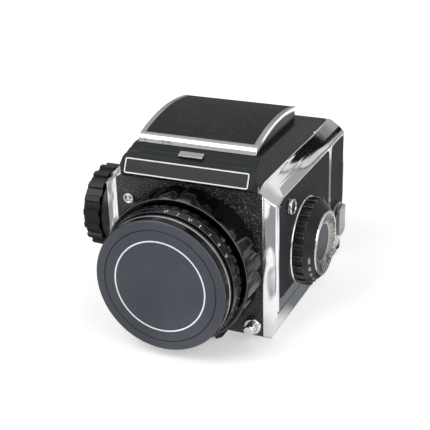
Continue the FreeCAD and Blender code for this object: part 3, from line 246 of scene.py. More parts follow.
paints = {
    "black_paint": {"colour": (0.010, 0.010, 0.0115), "rough": 0.34, "peel": 0.00002, "grain": 1800.0},
    "hood_paint": {"colour": (0.0125, 0.0150, 0.0165), "rough": 0.38, "peel": 0.00003, "grain": 1500.0,
                   "specular": 0.22},
    "black_anodised": {"colour": (0.0028, 0.0028, 0.0034), "rough": 0.14, "peel": 0.000004, "grain": 1500.0,
                       "specular": 0.30},
    "knob": {"colour": (0.0075, 0.0076, 0.0090), "rough": 0.40, "peel": 0.00003, "grain": 2200.0},
    "cap_plastic": {"colour": (0.061, 0.065, 0.080), "rough": 0.44, "peel": 0.00002, "grain": 2600.0},
    "white": {"colour": (0.84, 0.855, 0.90), "rough": 0.50, "peel": 0.00001, "grain": 2500.0},
    # a dim grey for edges and fine lines: partly wear, and on the focus ring's front chamfer a painted
    # highlight
    "edgeWearAndSheen": {"colour": (0.11, 0.112, 0.12), "rough": 0.30, "peel": 0.00001, "grain": 2500.0},
    # bright rib edges on the shutter dial: partly wear, partly a painted highlight
    "ribWearAndGlint": {"colour": (0.66, 0.66, 0.67), "rough": 0.35, "peel": 0.00001, "grain": 2500.0},
    "discPaint": {"colour": (0.040, 0.045, 0.049), "rough": 0.42, "peel": 0.00002, "grain": 2200.0},
    "curtain_cloth": {"colour": (0.012, 0.012, 0.012), "rough": 0.80, "peel": 0.00008, "grain": 2600.0},
    "spool_plastic": {"colour": (0.015, 0.015, 0.015), "rough": 0.45, "peel": 0.00003, "grain": 1500.0},
}
enamel = {"cloud": 38.0, "scuff": 26.0, "scuffStretch": (1.0, 9.0, 1.0), "dust": 2400.0, "specular": 0.35,
          "markColour": (0.45, 0.45, 0.46), "cloudy": 1.25}


def makePaint(name, look):  # enamel and plastic: cloudy gloss, orange peel, thin scuffs and dust
    finish = Finish("paint_" + name, look.get("specular", enamel["specular"]))
    cloud = finish.noise(enamel["cloud"], 4.0)
    peel = finish.noise(look["grain"], 2.0)
    scuff = finish.noise(enamel["scuff"], 5.0, 0.62, enamel["scuffStretch"]).ramp(0.60, 0.72)
    dust = finish.noise(enamel["dust"], 1.0).ramp(0.74, 0.80)
    cloudy = rgb(*look["colour"], share=enamel["cloudy"])
    base = finish.blend(cloud.ramp(0.35, 0.75), rgb(*look["colour"]), cloudy)
    marks = (scuff * 0.05 + dust * 0.10).clamped(0.0, 1.0)
    finish.put(Base_Color=finish.blend(marks, base, rgb(*enamel["markColour"])))
    rough = look["rough"]
    finish.put(Roughness=(cloud.ramp(0.3, 0.8, rough * 0.85, rough * 1.2) + scuff * 0.12).clamped(0.04, 1.0))
    finish.bump(peel, look["peel"])
    return finish.material


glasses = {
    "glass": {"name": "coated", "tint": (0.78, 0.83, 0.92), "rough": (0.01, 0.05)},
    "screen_glass": {"name": "ground", "tint": (0.86, 0.88, 0.88), "rough": (0.35, 0.39)},
}
pane = {"smear": 120.0, "ior": 1.52}


def makeGlass(look):  # clear or ground, with faint smears
    finish = Finish("glass_" + look["name"])
    finish.put(Base_Color=rgb(*look["tint"]), Transmission_Weight=1.0, IOR=pane["ior"])
    finish.put(Roughness=finish.noise(pane["smear"], 3.0).ramp(0.4, 0.8, *look["rough"]))
    return finish.material


blades = {"streak": 6.0, "stretch": (60.0, 60.0, 900.0), "dark": (0.05, 0.05, 0.055),
          "pale": (0.10, 0.10, 0.11), "rough": (0.3, 0.5), "depth": 0.00002}


def makeBlades():  # blackened spring steel, drawn along its length
    finish = Finish("blade_steel")
    streak = finish.noise(blades["streak"], 2.0, 0.5, blades["stretch"])
    finish.put(Base_Color=finish.blend(streak, rgb(*blades["dark"]), rgb(*blades["pale"])), Metallic=1.0)
    finish.put(Roughness=streak.ramp(0.2, 0.8, *blades["rough"]))
    finish.bump(streak, blades["depth"])
    return finish.material


finishes = {name: makeChrome(name, look) for name, look in chromes.items()}
finishes.update({name: makeLeather(name, look) for name, look in leathers.items()})
finishes.update({name: makePaint(name, look) for name, look in paints.items()})
finishes.update({name: makeGlass(look) for name, look in glasses.items()})
finishes["blade_steel"] = makeBlades()
print("stage: finishes")

# each node has its slot's finish, apart from those named here
ownFinish = {
    "front_leather": "frontLeather", "lid_leather": "lidLeather", "wind_knob": "knob",
    "dial_hub_ring": "dish", "hood_catch": "brushed", "dial_disc": "discPaint", "magazine_key": "brushed",
}
nodeSlot = {part["node"]: part["material_slot"] for part in frame["record"]["subparts"]}
nodeBody = {node: body for body, nodes in frame["record"]["behaviour"]["bodies"].items() for node in nodes}
nodeFinish = {node: finishes[ownFinish.get(node, slot)] for node, slot in nodeSlot.items()}
for node, thing in frame["nodes"].items():
    thing.data.materials.clear()
    thing.data.materials.append(nodeFinish[node])


# points nearer than these, in mm, merge; an edge under flat degrees goes, one over sharp degrees can be picked
meshing = {"merge": 0.002, "drawn": 0.001, "flat": 0.6, "sharp": 18}


def deselect():
    bpy.ops.object.select_all(action="DESELECT")


def pick(thing):
    deselect()
    thing.select_set(True)
    bpy.context.view_layer.objects.active = thing


def settle(thing):  # its place goes into its mesh
    pick(thing)
    bpy.ops.object.transform_apply(location=True, rotation=True, scale=True)


def applyAll(thing):
    pick(thing)
    for modifier in list(thing.modifiers):
        bpy.ops.object.modifier_apply(modifier=modifier.name)


def smooth(thing, degrees=35):  # round faces shade as round, flat ones stay flat up to their broken edges
    pick(thing)
    bpy.ops.object.shade_smooth_by_angle(angle=math.radians(degrees))
    weighted = thing.modifiers.new("Weighted", "WEIGHTED_NORMAL")
    weighted.weight = 100
    weighted.keep_sharp = True
    applyAll(thing)


def give(thing, *names):
    thing.data.materials.clear()
    for name in names:
        thing.data.materials.append(finishes[name])


def standFor(thing, node):  # the piece takes the place of a CAD node
    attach(thing, nodeBody[node])
    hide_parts(node)


def dress(thing, name, node, finish):  # a new piece beside a CAD node, on that node's body
    thing.name = name
    give(thing, finish)
    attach(thing, nodeBody[node])


def edit(thing, select="DESELECT"):
    pick(thing)
    bpy.ops.object.mode_set(mode="EDIT")
    bpy.ops.mesh.select_mode(type="VERT")
    bpy.ops.mesh.select_all(action=select)


def leave():
    bpy.ops.object.mode_set(mode="OBJECT")


def thicken(height):  # in edit mode, a flat outline becomes a closed plate
    bpy.ops.mesh.extrude_region_move(TRANSFORM_OT_translate={"value": (0, 0, height * mm)})
    bpy.ops.mesh.select_all(action="SELECT")
    bpy.ops.mesh.normals_make_consistent(inside=False)


def chooseFaces(thing, test):  # select, in edit mode, the faces that pass a test of centre and normal
    bpy.ops.mesh.select_mode(type="FACE")
    mesh = bmesh.from_edit_mesh(thing.data)
    for face in mesh.faces:
        face.select_set(test(face.calc_center_median(), face.normal))
    mesh.select_flush_mode()
    bmesh.update_edit_mesh(thing.data)


def chooseEdges(thing, test):  # select, in edit mode, the sharp edges whose two ends pass a test
    bpy.ops.mesh.select_mode(type="EDGE")
    mesh = bmesh.from_edit_mesh(thing.data)
    for edge in mesh.edges:
        angle = edge.calc_face_angle(0.0) if len(edge.link_faces) == 2 else 0.0
        sharp = angle > math.radians(meshing["sharp"])
        edge.select_set(sharp and test(edge.verts[0].co, edge.verts[1].co))
    bmesh.update_edit_mesh(thing.data)


def bevelled(thing, width, segments, degrees=30, slot=-1):
    bevel = thing.modifiers.new("Bevel", "BEVEL")
    bevel.width = width * mm
    bevel.segments = segments
    bevel.limit_method = "ANGLE"
    bevel.angle_limit = math.radians(degrees)
    bevel.material = slot
    applyAll(thing)


def copied(node):  # a copy of a CAD node in its finish, merged into one skin
    copy = bpy.data.objects.new("soft_" + node, frame["nodes"][node].data.copy())
    bpy.context.collection.objects.link(copy)
    edit(copy, "SELECT")
    bpy.ops.mesh.remove_doubles(threshold=meshing["merge"] * mm)
    bpy.ops.mesh.dissolve_limited(angle_limit=math.radians(meshing["flat"]))
    leave()
    return copy


def partlyPainted(piece, finish, test):  # faces that pass a test of centre and normal get their own finish
    piece.data.materials.append(finishes[finish])
    slot = len(piece.data.materials) - 1
    for face in piece.data.polygons:
        if test(face.center, face.normal):
            face.material_index = slot


def softened(node, width, segments=3, wearAndSheen=None):  # a CAD node with broken edges, given a bright finish on their bevels if asked: partly wear, partly a painted highlight
    copy = copied(node)
    if wearAndSheen:
        copy.data.materials.append(finishes[wearAndSheen])
    bevelled(copy, width, segments, slot=1 if wearAndSheen else -1)
    smooth(copy)
    standFor(copy, node)
    return copy


def frameOf(origin, right, up):  # a flat place on a surface: text and lines lie on it
    right = Vector(right).normalized()
    up = Vector(up).normalized()
    away = right.cross(up)
    turn = Matrix((right, up, away)).transposed().to_4x4()
    return Matrix.Translation(origin) @ turn


def turned(profile, axis, centre, sides, closed=True):
    # circles of (along, radius) in mm, each extruded from the one before and scaled about the axis
    along = {"X": Vector((1, 0, 0)), "Y": Vector((0, 1, 0))}[axis]
    aim = {"X": (0, math.pi / 2, 0), "Y": (-math.pi / 2, 0, 0)}[axis]
    place = centre + along * profile[0][0] * mm
    deselect()
    bpy.ops.mesh.primitive_circle_add(vertices=sides, radius=profile[0][1] * mm, location=place, rotation=aim)
    ring = bpy.context.object
    settle(ring)
    edit(ring, "SELECT")
    for (a0, r0), (a1, r1) in zip(profile, profile[1:]):
        step = along * (a1 - a0) * mm
        bpy.ops.mesh.extrude_edges_move(TRANSFORM_OT_translate={"value": step})
        middle = centre + along * a1 * mm
        ratio = r1 / r0
        bpy.ops.transform.resize(value=(ratio, ratio, ratio), center_override=middle)
    bpy.ops.mesh.select_all(action="SELECT")
    bpy.ops.mesh.remove_doubles(threshold=meshing["drawn"] * mm)
    if not closed:  # cap its two ends
        bpy.ops.mesh.select_all(action="DESELECT")
        bpy.ops.mesh.select_non_manifold()
        bpy.ops.mesh.edge_face_add()
        bpy.ops.mesh.select_all(action="SELECT")
    bpy.ops.mesh.normals_make_consistent(inside=False)
    leave()
    return ring


lettering = {"raised": 0.03, "curveSteps": 4}


def lettered(words, height, place, name, node):  # raised white figures on a surface
    deselect()
    bpy.ops.object.text_add()
    figures = bpy.context.object
    figures.data.body = words
    figures.data.size = height * mm
    figures.data.align_x = "CENTER"
    figures.data.align_y = "CENTER"
    figures.data.extrude = lettering["raised"] * mm
    figures.data.resolution_u = lettering["curveSteps"]
    bpy.ops.object.convert(target="MESH")
    figures.matrix_world = place
    settle(figures)
    dress(figures, name, node, "white")


def flat(point):  # |x|, depth behind the front leather's face, height, in mm
    return abs(point.x) / mm, point.y / mm + socketY, point.z / mm


def fromLens(c):  # distance of a point from the lens axis, in mm
    return math.hypot(c.x, c.z - lensAxis.z) / mm


def fromDial(c):  # distance of a point from the dial's axis, in mm
    return math.hypot(c.y - dialAxis.y, c.z - dialAxis.z) / mm


# housings: the long outer edges are rounded like pressed sheet, the rest are only broken
casting = {"half": 47.5, "shoulder": (38.5, 83.4), "shoulderLow": 76.4, "band": 15.6, "base": 44.0,
           "strip": 40.0, "dip": 12.1, "dipLow": 73.0, "dipFace": 4.0, "hoodFoot": 38.0, "wallTilt": 0.5,
           "slopeTilt": 0.2, "round": 0.65, "roundSteps": 4, "broken": 0.12, "near": 0.06}


def onLongEdge(a, b):  # along the body, where two facets of its section meet
    near = casting["near"]
    lines = [(casting["half"], casting["shoulderLow"]), casting["shoulder"],
             (casting["half"], casting["band"]), (casting["base"], 0.0)]
    ends = [flat(a), flat(b)]
    return any(all(abs(x - lineX) < near and abs(z - lineZ) < near for x, y, z in ends)
               for lineX, lineZ in lines)


def onDip(a, b):  # round the sloping front end of a shoulder
    return all(casting["strip"] <= x and y < casting["dip"] and z > casting["dipLow"]
               and (x > casting["half"] - casting["near"] or y < casting["dipFace"])
               for x, y, z in (flat(a), flat(b)))


def besideHood(face):  # the small wall that the dip leaves at the hood's foot
    x, y, z = flat(face.center)
    return (x < casting["hoodFoot"] and y < casting["dip"] and z > casting["dipLow"]
            and abs(face.normal.x) > casting["wallTilt"])


def onShoulder(face):  # the long slope beside the hood, pressed flat and bright
    y, z = flat(face.center)[1:]
    tilt = casting["slopeTilt"]
    return z > casting["dipLow"] and y > casting["dip"] and face.normal.z > tilt and abs(face.normal.x) > tilt


def roundedCasting(node):
    copy = copied(node)
    give(copy, "chrome", "hood_paint", "shoulder")
    edit(copy)
    chooseEdges(copy, lambda a, b: onLongEdge(a, b) or onDip(a, b))
    bpy.ops.mesh.bevel(offset=casting["round"] * mm, segments=casting["roundSteps"], affect="EDGES",
                       clamp_overlap=False)
    leave()
    bevelled(copy, casting["broken"], 2, 40)
    smooth(copy)
    for face in copy.data.polygons:
        face.material_index = 1 if besideHood(face) else 2 if onShoulder(face) else 0
    standFor(copy, node)


roundedCasting("body_shell")
roundedCasting("magazine_shell")

softEdges = {
    "hood_base": 0.4, "front_leather": 0.2, "side_leathers": 0.2, "base_plate": 0.3, "hood_catch": 0.25,
    "hood_lid": 0.25, "lid_leather": 0.12, "dark_slide": 0.2, "crank_arm": 0.3,
    "mirror_frame": 0.2, "magnifier_frame": 0.25, "lens_lock_tab": 0.4, "nameplate": 0.12,
    "front_ring": 0.12, "magazine_key": 0.3, "release_button": 0.2,
    "flash_terminal": 0.15, "dial_base_ring": 0.2, "knob_base_disc": 0.3,
    "crank_handle": 0.3, "release_collar": 0.2, "film_gate": 0.2, "screen_frame": 0.2, "helicoid_base": 0.2,
}
for node, width in softEdges.items():
    softened(node, width)
softened("wind_knob", 0.25, 2)

lidBar = {"round": 0.35, "upright": 0.75}


def lidFrame():  # its flat top is brushed, its rolled edges are polished
    partlyPainted(softened("lid_rim", lidBar["round"]), "brushed", lambda c, n: n.z > lidBar["upright"])


dialEdges = {"broken": 0.45, "ribR": 22.6, "ribTilt": 0.4, "hubBroken": 0.25, "hubRim": 59.4,
             "hubOuter": 16.9}


def dialPieces():  # bright rib edges, partly wear and partly a painted highlight; a bright rim round the stained dish, whose dark tint is painted shade
    # the rib edges' bevels take the bright finish: partly wear, partly a painted highlight
    dialBody = softened("shutter_dial", dialEdges["broken"], 2, "ribWearAndGlint")
    for face in dialBody.data.polygons:
        if fromDial(face.center) < dialEdges["ribR"] or abs(face.normal.x) > dialEdges["ribTilt"]:
            face.material_index = 0
    hub = softened("dial_hub_ring", dialEdges["hubBroken"])
    partlyPainted(hub, "polished",
                  lambda c, n: c.x / mm > dialEdges["hubRim"] or fromDial(c) > dialEdges["hubOuter"])


capEdges = {"broken": 0.22, "side": -35.4, "outer": 33.0, "sideTilt": 0.5, "groove": (29.3, 30.2),
            "grooveFloor": -35.5}


def capShell():  # its grip is black, its groove is painted black as painted shade, its face is grey
    shell = softened("lens_cap", capEdges["broken"])
    inner, outer = capEdges["groove"]
    partlyPainted(shell, "black_anodised", lambda c, n: flat(c)[1] > capEdges["side"]
                  and abs(n.y) < capEdges["sideTilt"] and fromLens(c) > capEdges["outer"])
    # the groove is painted black: painted shade in the recess
    partlyPainted(shell, "black_paint",
                  lambda c, n: inner < fromLens(c) < outer and flat(c)[1] > capEdges["grooveFloor"])


# fluted rings: a turned body whose outer skin is scooped by round cutters, with a pale front edge that is a
# painted highlight of its chamfer
flutedRings = {
    "focus_ring": {"flutes": 20, "cutter": 5.0, "at": 43.6, "from": -1.5, "to": -17.5, "steps": 16,
                   "profile": [(-1.5, 31.25), (-1.5, 39.1), (-2.3, 39.9), (-16.7, 39.2), (-17.25, 38.65),
                               (-17.5, 38.4), (-17.5, 37.4), (-8.0, 37.4), (-8.0, 32.6), (-15.5, 32.6),
                               (-15.5, 31.25), (-1.5, 31.25)],
                   "wearAndSheen": (-17.2, 38.3, 0.9)},
    "aperture_ring": {"flutes": 40, "cutter": 1.2, "at": 37.3, "from": -19.6, "to": -22.6, "steps": 14,
                      "profile": [(-19.6, 33.05), (-19.6, 36.4), (-19.9, 36.7), (-22.5, 36.7), (-22.6, 36.6),
                                  (-22.6, 36.0), (-27.1, 35.72), (-27.3, 35.6), (-27.3, 33.05),
                                  (-19.6, 33.05)],
                      "wearAndSheen": None},
}


def scoop(piece, ring):  # each point outside a cutter's surface moves in to it
    pitch = 2 * math.pi / ring["flutes"]
    slack = 0.01
    for vertex in piece.data.vertices:
        out = vertex.co - lensAxis
        y = flat(vertex.co)[1]
        turn = (math.atan2(out.x, out.z) + pitch / 2) % pitch - pitch / 2
        reach = ring["cutter"] ** 2 - (ring["at"] * math.sin(turn)) ** 2
        if reach > 0 and ring["to"] - slack < y < ring["from"] + slack:
            radius = math.hypot(out.x, out.z) / mm
            share = min(1.0, (ring["at"] * math.cos(turn) - math.sqrt(reach)) / radius)
            vertex.co.x = lensAxis.x + out.x * share
            vertex.co.z = lensAxis.z + out.z * share


def flutedRing(node, ring):
    piece = turned(ring["profile"], "Y", lensAxis, ring["flutes"] * ring["steps"])
    scoop(piece, ring)
    smooth(piece)
    piece.name = "fluted_" + node
    give(piece, nodeSlot[node])
    # the focus ring's front chamfer is painted pale: a painted highlight
    if ring["wearAndSheen"]:
        at, inner, tilt = ring["wearAndSheen"]
        partlyPainted(piece, "edgeWearAndSheen",
                      lambda c, n: flat(c)[1] < at and fromLens(c) > inner and abs(n.y) < tilt)
    standFor(piece, node)


lidFrame()
dialPieces()
capShell()
for node, ring in flutedRings.items():
    flutedRing(node, ring)
print("stage: softened housings")

magazine = {"top": 83.0, "edge": 0.2, "topFinish": "hood_paint"}


def magazineCoverings():  # leather on the sides, enamel on the top
    coverings = softened("magazine_leathers", magazine["edge"], 2)
    partlyPainted(coverings, magazine["topFinish"], lambda c, n: c.z > magazine["top"] * mm)


backDoor = {"edge": 0.45, "panelInset": 3.2, "panelEdge": 0.15, "panelSink": 0.25, "rear": 115.4,
            "near": 0.05, "facing": 0.99}


def magazineDoor():  # the door's face is a panel of leather inside an enamelled rim
    skin = softened("magazine_door", backDoor["edge"])
    skin.data.materials.append(finishes["leatherette"])
    edit(skin)
    rear, near = backDoor["rear"], backDoor["near"]
    chooseFaces(skin, lambda c, n: n.y > backDoor["facing"] and abs(flat(c)[1] - rear) < near)
    bpy.ops.mesh.inset(thickness=backDoor["panelInset"] * mm, depth=0)
    bpy.ops.mesh.inset(thickness=backDoor["panelEdge"] * mm, depth=-backDoor["panelSink"] * mm)
    skin.active_material_index = 1
    bpy.ops.object.material_slot_assign()
    leave()
    smooth(skin)


magazineCoverings()
magazineDoor()
print("stage: magazine")

# strap studs: a foot, a neck and a dished head whose centre is painted black as painted shade
stud = {"ends": ((16.8, 1), (62.0, -1)), "z": 68.4, "side": 47.6, "sides": 40,
        "outline": [(0.0, 3.6), (0.7, 3.6), (0.9, 3.4), (0.9, 2.5), (1.5, 2.5), (1.6, 3.9), (1.8, 4.15),
                    (2.3, 4.15), (2.6, 3.9), (2.7, 3.55), (2.35, 3.3), (2.2, 0.01)],
        "shadeR": 3.35, "shadeFrom": 2.0}


def strapStud(at, side):
    middle = row(side * stud["side"], at, stud["z"])
    piece = turned([(side * along, r) for along, r in stud["outline"]], "X", middle, stud["sides"], False)
    smooth(piece, 40)
    give(piece, "polished", "black_paint")
    for face in piece.data.polygons:
        out = abs(face.center.x) / mm - stud["side"]
        r = math.hypot(face.center.y - middle.y, face.center.z - middle.z) / mm
        # the dish in the head is painted black: painted shade
        face.material_index = 1 if out > stud["shadeFrom"] and r < stud["shadeR"] else 0
    return piece


def strapStuds():
    made = [strapStud(at, side) for at, side in stud["ends"]]
    pick(made[0])
    for piece in made:
        piece.select_set(True)
    bpy.ops.object.join()
    made[0].name = "strap_stud_pair"
    standFor(made[0], "strap_studs")


strapStuds()
print("stage: strap studs")

# nameplate: bare, with its fine inlaid line
plate = {"low": (-2.95, 82.6), "top": (0.8, 90.4), "half": 33.6, "margin": 0.35, "thick": 0.6,
         "lineIn": 0.02, "line": 0.62, "corner": 1.0, "cornerSteps": 6, "proud": 0.05}


def plateLine():
    rise = (plate["top"][0] - plate["low"][0], plate["top"][1] - plate["low"][1])
    up = Vector((0, rise[0], rise[1])).normalized()
    away = Vector((1, 0, 0)).cross(up)
    middle = row(0, (plate["low"][0] + plate["top"][0]) / 2, (plate["low"][1] + plate["top"][1]) / 2)
    width = 2 * (plate["half"] - plate["lineIn"])
    tall = math.hypot(*rise) - 2 * (plate["margin"] + plate["lineIn"])
    deselect()
    bpy.ops.mesh.primitive_plane_add(size=1.0)
    line = bpy.context.object
    line.scale = (width * mm, tall * mm, 1)
    settle(line)
    edit(line, "SELECT")
    bpy.ops.mesh.bevel(offset=plate["corner"] * mm, segments=plate["cornerSteps"], affect="VERTICES")
    bpy.ops.mesh.select_all(action="SELECT")
    bpy.ops.mesh.inset(thickness=plate["line"] * mm)
    bpy.ops.mesh.delete(type="FACE")
    bpy.ops.mesh.select_all(action="SELECT")
    thicken(plate["proud"])
    leave()
    line.matrix_world = frameOf(middle + away * plate["thick"] * mm, (1, 0, 0), up)
    settle(line)
    dress(line, "nameplate_line", "nameplate", "white")


plateLine()
print("stage: nameplate")

# lens: the cap's circle, fine rings, knurled bands and figures
cap = {"front": -35.6, "circle": 24.0, "line": 0.75, "proud": 0.04, "sunk": 0.1, "sides": 160}
lensLines = [
    {"name": "aperture_front_line", "node": "aperture_ring", "at": -27.1, "r": 35.72, "wide": 0.3,
     "finish": "edgeWearAndSheen"},
    {"name": "aperture_rear_line", "node": "aperture_ring", "at": -22.9, "r": 36.02, "wide": 0.14,
     "finish": "edgeWearAndSheen"},
    {"name": "front_ring_line", "node": "front_ring", "at": -30.4, "r": 34.95, "wide": 0.8,
     "finish": "brightLine"},
]
bead = {"depth": 0.25, "crown": 0.06, "sides": 180}
endFace = 0.5  # a face that looks further than this along the axis is an end, not a tooth
grips = [
    {"name": "front_ring_knurl", "node": "front_ring", "rear": -28.9, "front": -29.9, "inner": 34.3,
     "outer": 34.72, "teeth": 150, "tooth": 0.16, "finish": "edgeWearAndSheen"},
    {"name": "cap_knurl", "node": "lens_cap", "rear": -31.3, "front": -34.6, "inner": 34.4,
     "outer": 34.82, "teeth": 180, "tooth": 0.16, "finish": "black_anodised"},
]
stops = {"figures": {"2.8": 0.5, "4": 10.8, "5.6": 21.3, "8": 30.5, "11": 40.5, "16": 50.5, "22": 60.8},
         "at": -25.2, "r": 35.87, "height": 1.9, "dot": 0.3, "dotSides": 16, "dotAt": -26.5,
         "dotTall": 0.04, "dotSunk": 0.05}


def capCircle():
    front, proud, sunk = cap["front"], cap["proud"], cap["sunk"]
    near = cap["circle"] - cap["line"] / 2
    far = cap["circle"] + cap["line"] / 2
    profile = [(front + sunk, near), (front - proud, near), (front - proud, far), (front + sunk, far),
               (front + sunk, near)]
    circle = turned(profile, "Y", lensAxis, cap["sides"])
    smooth(circle, 30)
    dress(circle, "cap_circle", "lens_cap", "white")


def ringLine(line):  # a low bead let into a ring
    at, r, half, quarter = line["at"], line["r"], line["wide"] / 2, line["wide"] / 4
    root, crown = r - bead["depth"], r + bead["crown"]
    profile = [(at - half, root), (at - half, r), (at - quarter, crown), (at + quarter, crown),
               (at + half, r), (at + half, root), (at - half, root)]
    ring = turned(profile, "Y", lensAxis, bead["sides"])
    smooth(ring, 50)
    dress(ring, line["name"], line["node"], line["finish"])


def knurledGrip(grip):  # every second face of a band stands out as a tooth
    profile = [(grip["rear"], grip["inner"]), (grip["rear"], grip["outer"]), (grip["front"], grip["outer"]),
               (grip["front"], grip["inner"]), (grip["rear"], grip["inner"])]
    band = turned(profile, "Y", lensAxis, grip["teeth"] * 2)
    share = math.pi / grip["teeth"]

    def isTooth(centre, normal):
        turn = math.atan2(centre.x, centre.z - lensAxis.z) % (2 * math.pi)
        outward = abs(normal.y) < endFace and normal.dot(centre - lensAxis) > 0
        return outward and int(turn / share) % 2 == 0

    edit(band)
    chooseFaces(band, isTooth)
    bpy.ops.mesh.extrude_region_shrink_fatten(TRANSFORM_OT_shrink_fatten={"value": grip["tooth"] * mm})
    leave()
    dress(band, grip["name"], grip["node"], grip["finish"])


def aroundLens(turn, at, r):  # a flat place on the lens, read from in front
    a = math.radians(turn)
    out = Vector((math.sin(a), 0, math.cos(a)))
    across = Vector((math.cos(a), 0, -math.sin(a)))
    return frameOf(lensAxis + Vector((0, at * mm, 0)) + out * r * mm, across, (0, 1, 0))


def apertureDot(turn, name):
    deselect()
    radius = stops["dot"] * mm
    bpy.ops.mesh.primitive_circle_add(vertices=stops["dotSides"], radius=radius, fill_type="NGON")
    dot = bpy.context.object
    edit(dot, "SELECT")
    thicken(stops["dotTall"])
    leave()
    dot.matrix_world = aroundLens(turn, stops["dotAt"], stops["r"] - stops["dotSunk"])
    settle(dot)
    dress(dot, name, "aperture_ring", "white")


def apertureFigures():
    for k, (figure, turn) in enumerate(stops["figures"].items()):
        place = aroundLens(turn, stops["at"], stops["r"])
        lettered(figure, stops["height"], place, f"aperture_figure_{k + 1}", "aperture_ring")
        apertureDot(turn, f"aperture_dot_{k + 1}")


capCircle()
for line in lensLines:
    ringLine(line)
for grip in grips:
    knurledGrip(grip)
apertureFigures()
print("stage: lens")

# shutter dial: plain speeds on its cone, a fine ring round the disc
dial = {"bandFace": 54.5, "bandR": 22.4, "face": 59.0, "faceR": 18.1, "height": 1.8, "share": 0.62,
        "lift": 0.02, "figures": ("1000", "500", "250", "125", "60", "30", "15", "8", "4", "2", "1"),
        "step": 15.0, "first": 186.0}
disc = {"face": 57.9, "r": 10.4, "half": 0.25, "sunk": 0.2, "proud": 0.1, "crown": 0.16, "sides": 96}


def onDial(turn, share):  # a flat place on the dial's cone, read from outside it
    a = math.radians(turn)
    out = Vector((0, math.cos(a), math.sin(a)))
    x = dial["bandFace"] + (dial["face"] - dial["bandFace"]) * share
    r = dial["bandR"] + (dial["faceR"] - dial["bandR"]) * share
    inward = Vector((dial["face"] - dial["bandFace"], 0, 0)) + out * (dial["faceR"] - dial["bandR"])
    inward.normalize()
    right = (-inward).cross(Vector((0, -math.sin(a), math.cos(a))).cross(-inward))
    away = right.cross(-inward)
    origin = dialAxis + Vector((x * mm, 0, 0)) + out * r * mm + away * dial["lift"] * mm
    return frameOf(origin, right, -inward)


def dialFigures():
    for k, figure in enumerate(dial["figures"]):
        place = onDial(dial["first"] + dial["step"] * k, dial["share"])
        lettered(figure, dial["height"], place, f"speed_figure_{k + 1}", "shutter_dial")


def discLine():
    face, r, half = disc["face"], disc["r"], disc["half"]
    low, high = face - disc["sunk"], face + disc["proud"]
    profile = [(low, r - half), (high, r - half), (face + disc["crown"], r), (high, r + half),
               (low, r + half), (low, r - half)]
    ring = turned(profile, "X", dialAxis, disc["sides"])
    smooth(ring, 50)
    dress(ring, "dial_disc_line", "dial_disc", "chrome")


dialFigures()
discLine()
print("stage: dial")

# the floor is white to the camera, paler far off, and mottled in what metal mirrors
floorLook = {"size": 6.0, "drop": 0.0002, "tone": 0.9, "rough": 0.9, "glow": 0.38, "pale": (0.35, 1.1),
             "mottle": 9.0, "mottleEdge": (0.46, 0.54), "dull": (0.34, 0.36, 0.36)}


def addStage():
    bpy.ops.mesh.primitive_plane_add(size=floorLook["size"], location=(0, 0, -floorLook["drop"]))
    floor = bpy.context.object
    floor.name = "floor"
    finish = Finish("pale_floor")
    finish.put(Roughness=floorLook["rough"])
    seen = finish.ray("Camera")
    glossy = finish.ray("Glossy")
    mottle = finish.noise(floorLook["mottle"], 2.0).ramp(*floorLook["mottleEdge"])
    glow = (seen + finish.ray("Transmission") + glossy * mottle).clamped(0.0, 1.0)
    away = finish.node("ShaderNodeVectorMath", {"operation": "LENGTH"}, {0: finish.coordinate}, "Value")
    pale = seen * away.ramp(*floorLook["pale"])
    glowing = finish.blend(pale, grey(floorLook["glow"]), grey(1.0))
    finish.put(Emission_Color=finish.blend(glow, grey(0.0), glowing))
    dulled = glossy * (1.0 - mottle)
    finish.put(Base_Color=finish.blend(dulled, grey(floorLook["tone"]), rgb(*floorLook["dull"])))
    finish.shader.inputs["Emission Strength"].default_value = 1.0
    floor.data.materials.append(finish.material)


# the room that polished metal shows: white overhead, grey walls, dark shelves behind, cables
room = {"fill": 0.30, "wall": 0.46, "dark": 0.01, "ceiling": (0.53, 0.57), "behind": (-0.2, 0.3), "lift": 0.1,
        "cloud": 2.2, "cable": (0.42, 0.016, 0.5), "lowest": 0.15}
shelves = {"wave": 0.35, "low": (0.52, 0.55), "high": (0.68, 0.71), "foot": (0.2, 0.25),
           "clutter": (0.47, 0.53)}
beam = {"from": (0.43, 0.48), "to": (0.60, 0.66), "above": (0.5, 0.6), "shade": 0.42}
# a dark doorway that leans and widens away from the camera, with a lit edge and a dark seam beside it
doorway = {"left": (0.02, 0.08), "from": 0.05, "at": 0.745, "lean": 8.0, "rate": 60.0, "swing": 0.08,
           "edge": (-0.04, 0.04), "ahead": (0.70, 0.74), "above": (0.10, 0.15), "end": (0.8955, 0.898),
           "beyond": ((0.8, 0.9), (1.25, 1.3)), "glow": 0.35, "glowEnd": (0.32, 0.38),
           "seam": ((0.34, 0.37), (0.41, 0.46)), "seamShade": 0.85}


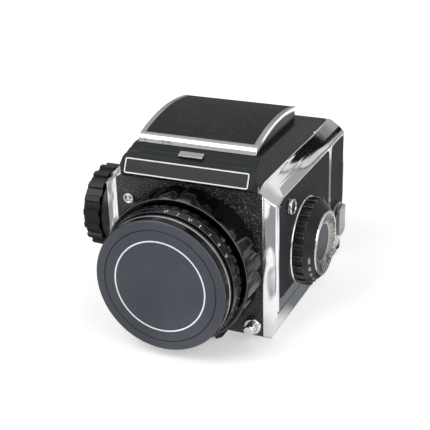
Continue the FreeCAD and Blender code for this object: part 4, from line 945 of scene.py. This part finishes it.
def addWorld():
    world = bpy.data.worlds.new("studio")
    bpy.context.scene.world = world
    world.use_nodes = True
    shading = Shading(world.node_tree, "Generated")
    shade = world.node_tree.nodes["Background"]
    looking = {0: shading.coordinate}
    across, away, height = [shading.node("ShaderNodeSeparateXYZ", {}, looking, k) for k in range(3)]
    cloud = shading.noise(room["cloud"], 2.0)
    slant = across / height.clamped(room["lowest"], 1.0)
    along = away - doorway["at"]
    sway = (along * doorway["rate"]).math("SINE") * doorway["swing"]
    past = slant - along * doorway["lean"] + sway - doorway["from"]
    near = 1.0 - away.ramp(*doorway["end"])
    here = away.ramp(*doorway["ahead"]) * height.ramp(*doorway["above"])
    opening = slant.ramp(*doorway["left"]) * (1.0 - past.ramp(*doorway["edge"])) * near
    opening = (opening + (1.0 - near) * slant.band(*doorway["beyond"])) * here
    glow = past.band(doorway["edge"], doorway["glowEnd"]) * near * here
    seam = past.band(*doorway["seam"]) * near * here
    behind = 1.0 - away.ramp(*room["behind"])
    shelf = height + (cloud - 0.5) * shelves["wave"]
    clutter = shelf.band(shelves["low"], shelves["high"]) * behind
    clutter = clutter + (1.0 - shelf.ramp(*shelves["foot"])) * behind * cloud.ramp(*shelves["clutter"])
    middle, width, strength = room["cable"]
    cable = 1.0 - (cloud - middle).math("ABSOLUTE").ramp(width / 2, width)
    level = height.ramp(*room["ceiling"]) * (1.0 - room["wall"]) + room["wall"]
    level = level + behind * room["lift"] + glow * doorway["glow"]
    level = level * (1.0 - opening) * (1.0 - clutter.clamped(0.0, 1.0)) * (1.0 - cable * strength)
    level = level * (1.0 - seam * doorway["seamShade"])
    crossing = away.band(beam["from"], beam["to"]) * height.ramp(*beam["above"])
    level = (level * (1.0 - crossing * beam["shade"])).clamped(room["dark"], 1.0)
    glossy = shading.ray("Glossy")
    inside = glossy * level + (1.0 - glossy) * room["fill"]
    seen = (shading.ray("Camera") + shading.ray("Transmission")).clamped(0.0, 1.0)
    shading.feed(shade.inputs["Strength"], seen + (1.0 - seen) * inside)
    shade.inputs["Color"].default_value = grey(1.0)


lamps = [
    {"name": "key", "at": (-350, -520, 720), "size": 0.60, "power": 4.6, "mirrored": True},
    {"name": "fill", "at": (620, -420, 420), "size": 0.60, "power": 2.4, "mirrored": True},
    {"name": "rim", "at": (150, 620, 520), "size": 0.50, "power": 2.0, "mirrored": False},
]
lampAim = row(0, 40, 50)


def addLamps():
    for lamp in lamps:
        place = row(*lamp["at"])
        bpy.ops.object.light_add(type="AREA", location=place)
        light = bpy.context.object
        light.name = lamp["name"]
        light.rotation_mode = "QUATERNION"
        light.rotation_quaternion = (lampAim - place).to_track_quat("-Z", "Y")
        light.data.size = lamp["size"]
        light.data.energy = lamp["power"]
        light.visible_glossy = lamp["mirrored"]


addStage()
addWorld()
addLamps()
bpy.context.scene.view_settings.view_transform = "Standard"
print("stage: floor, world and lamps")
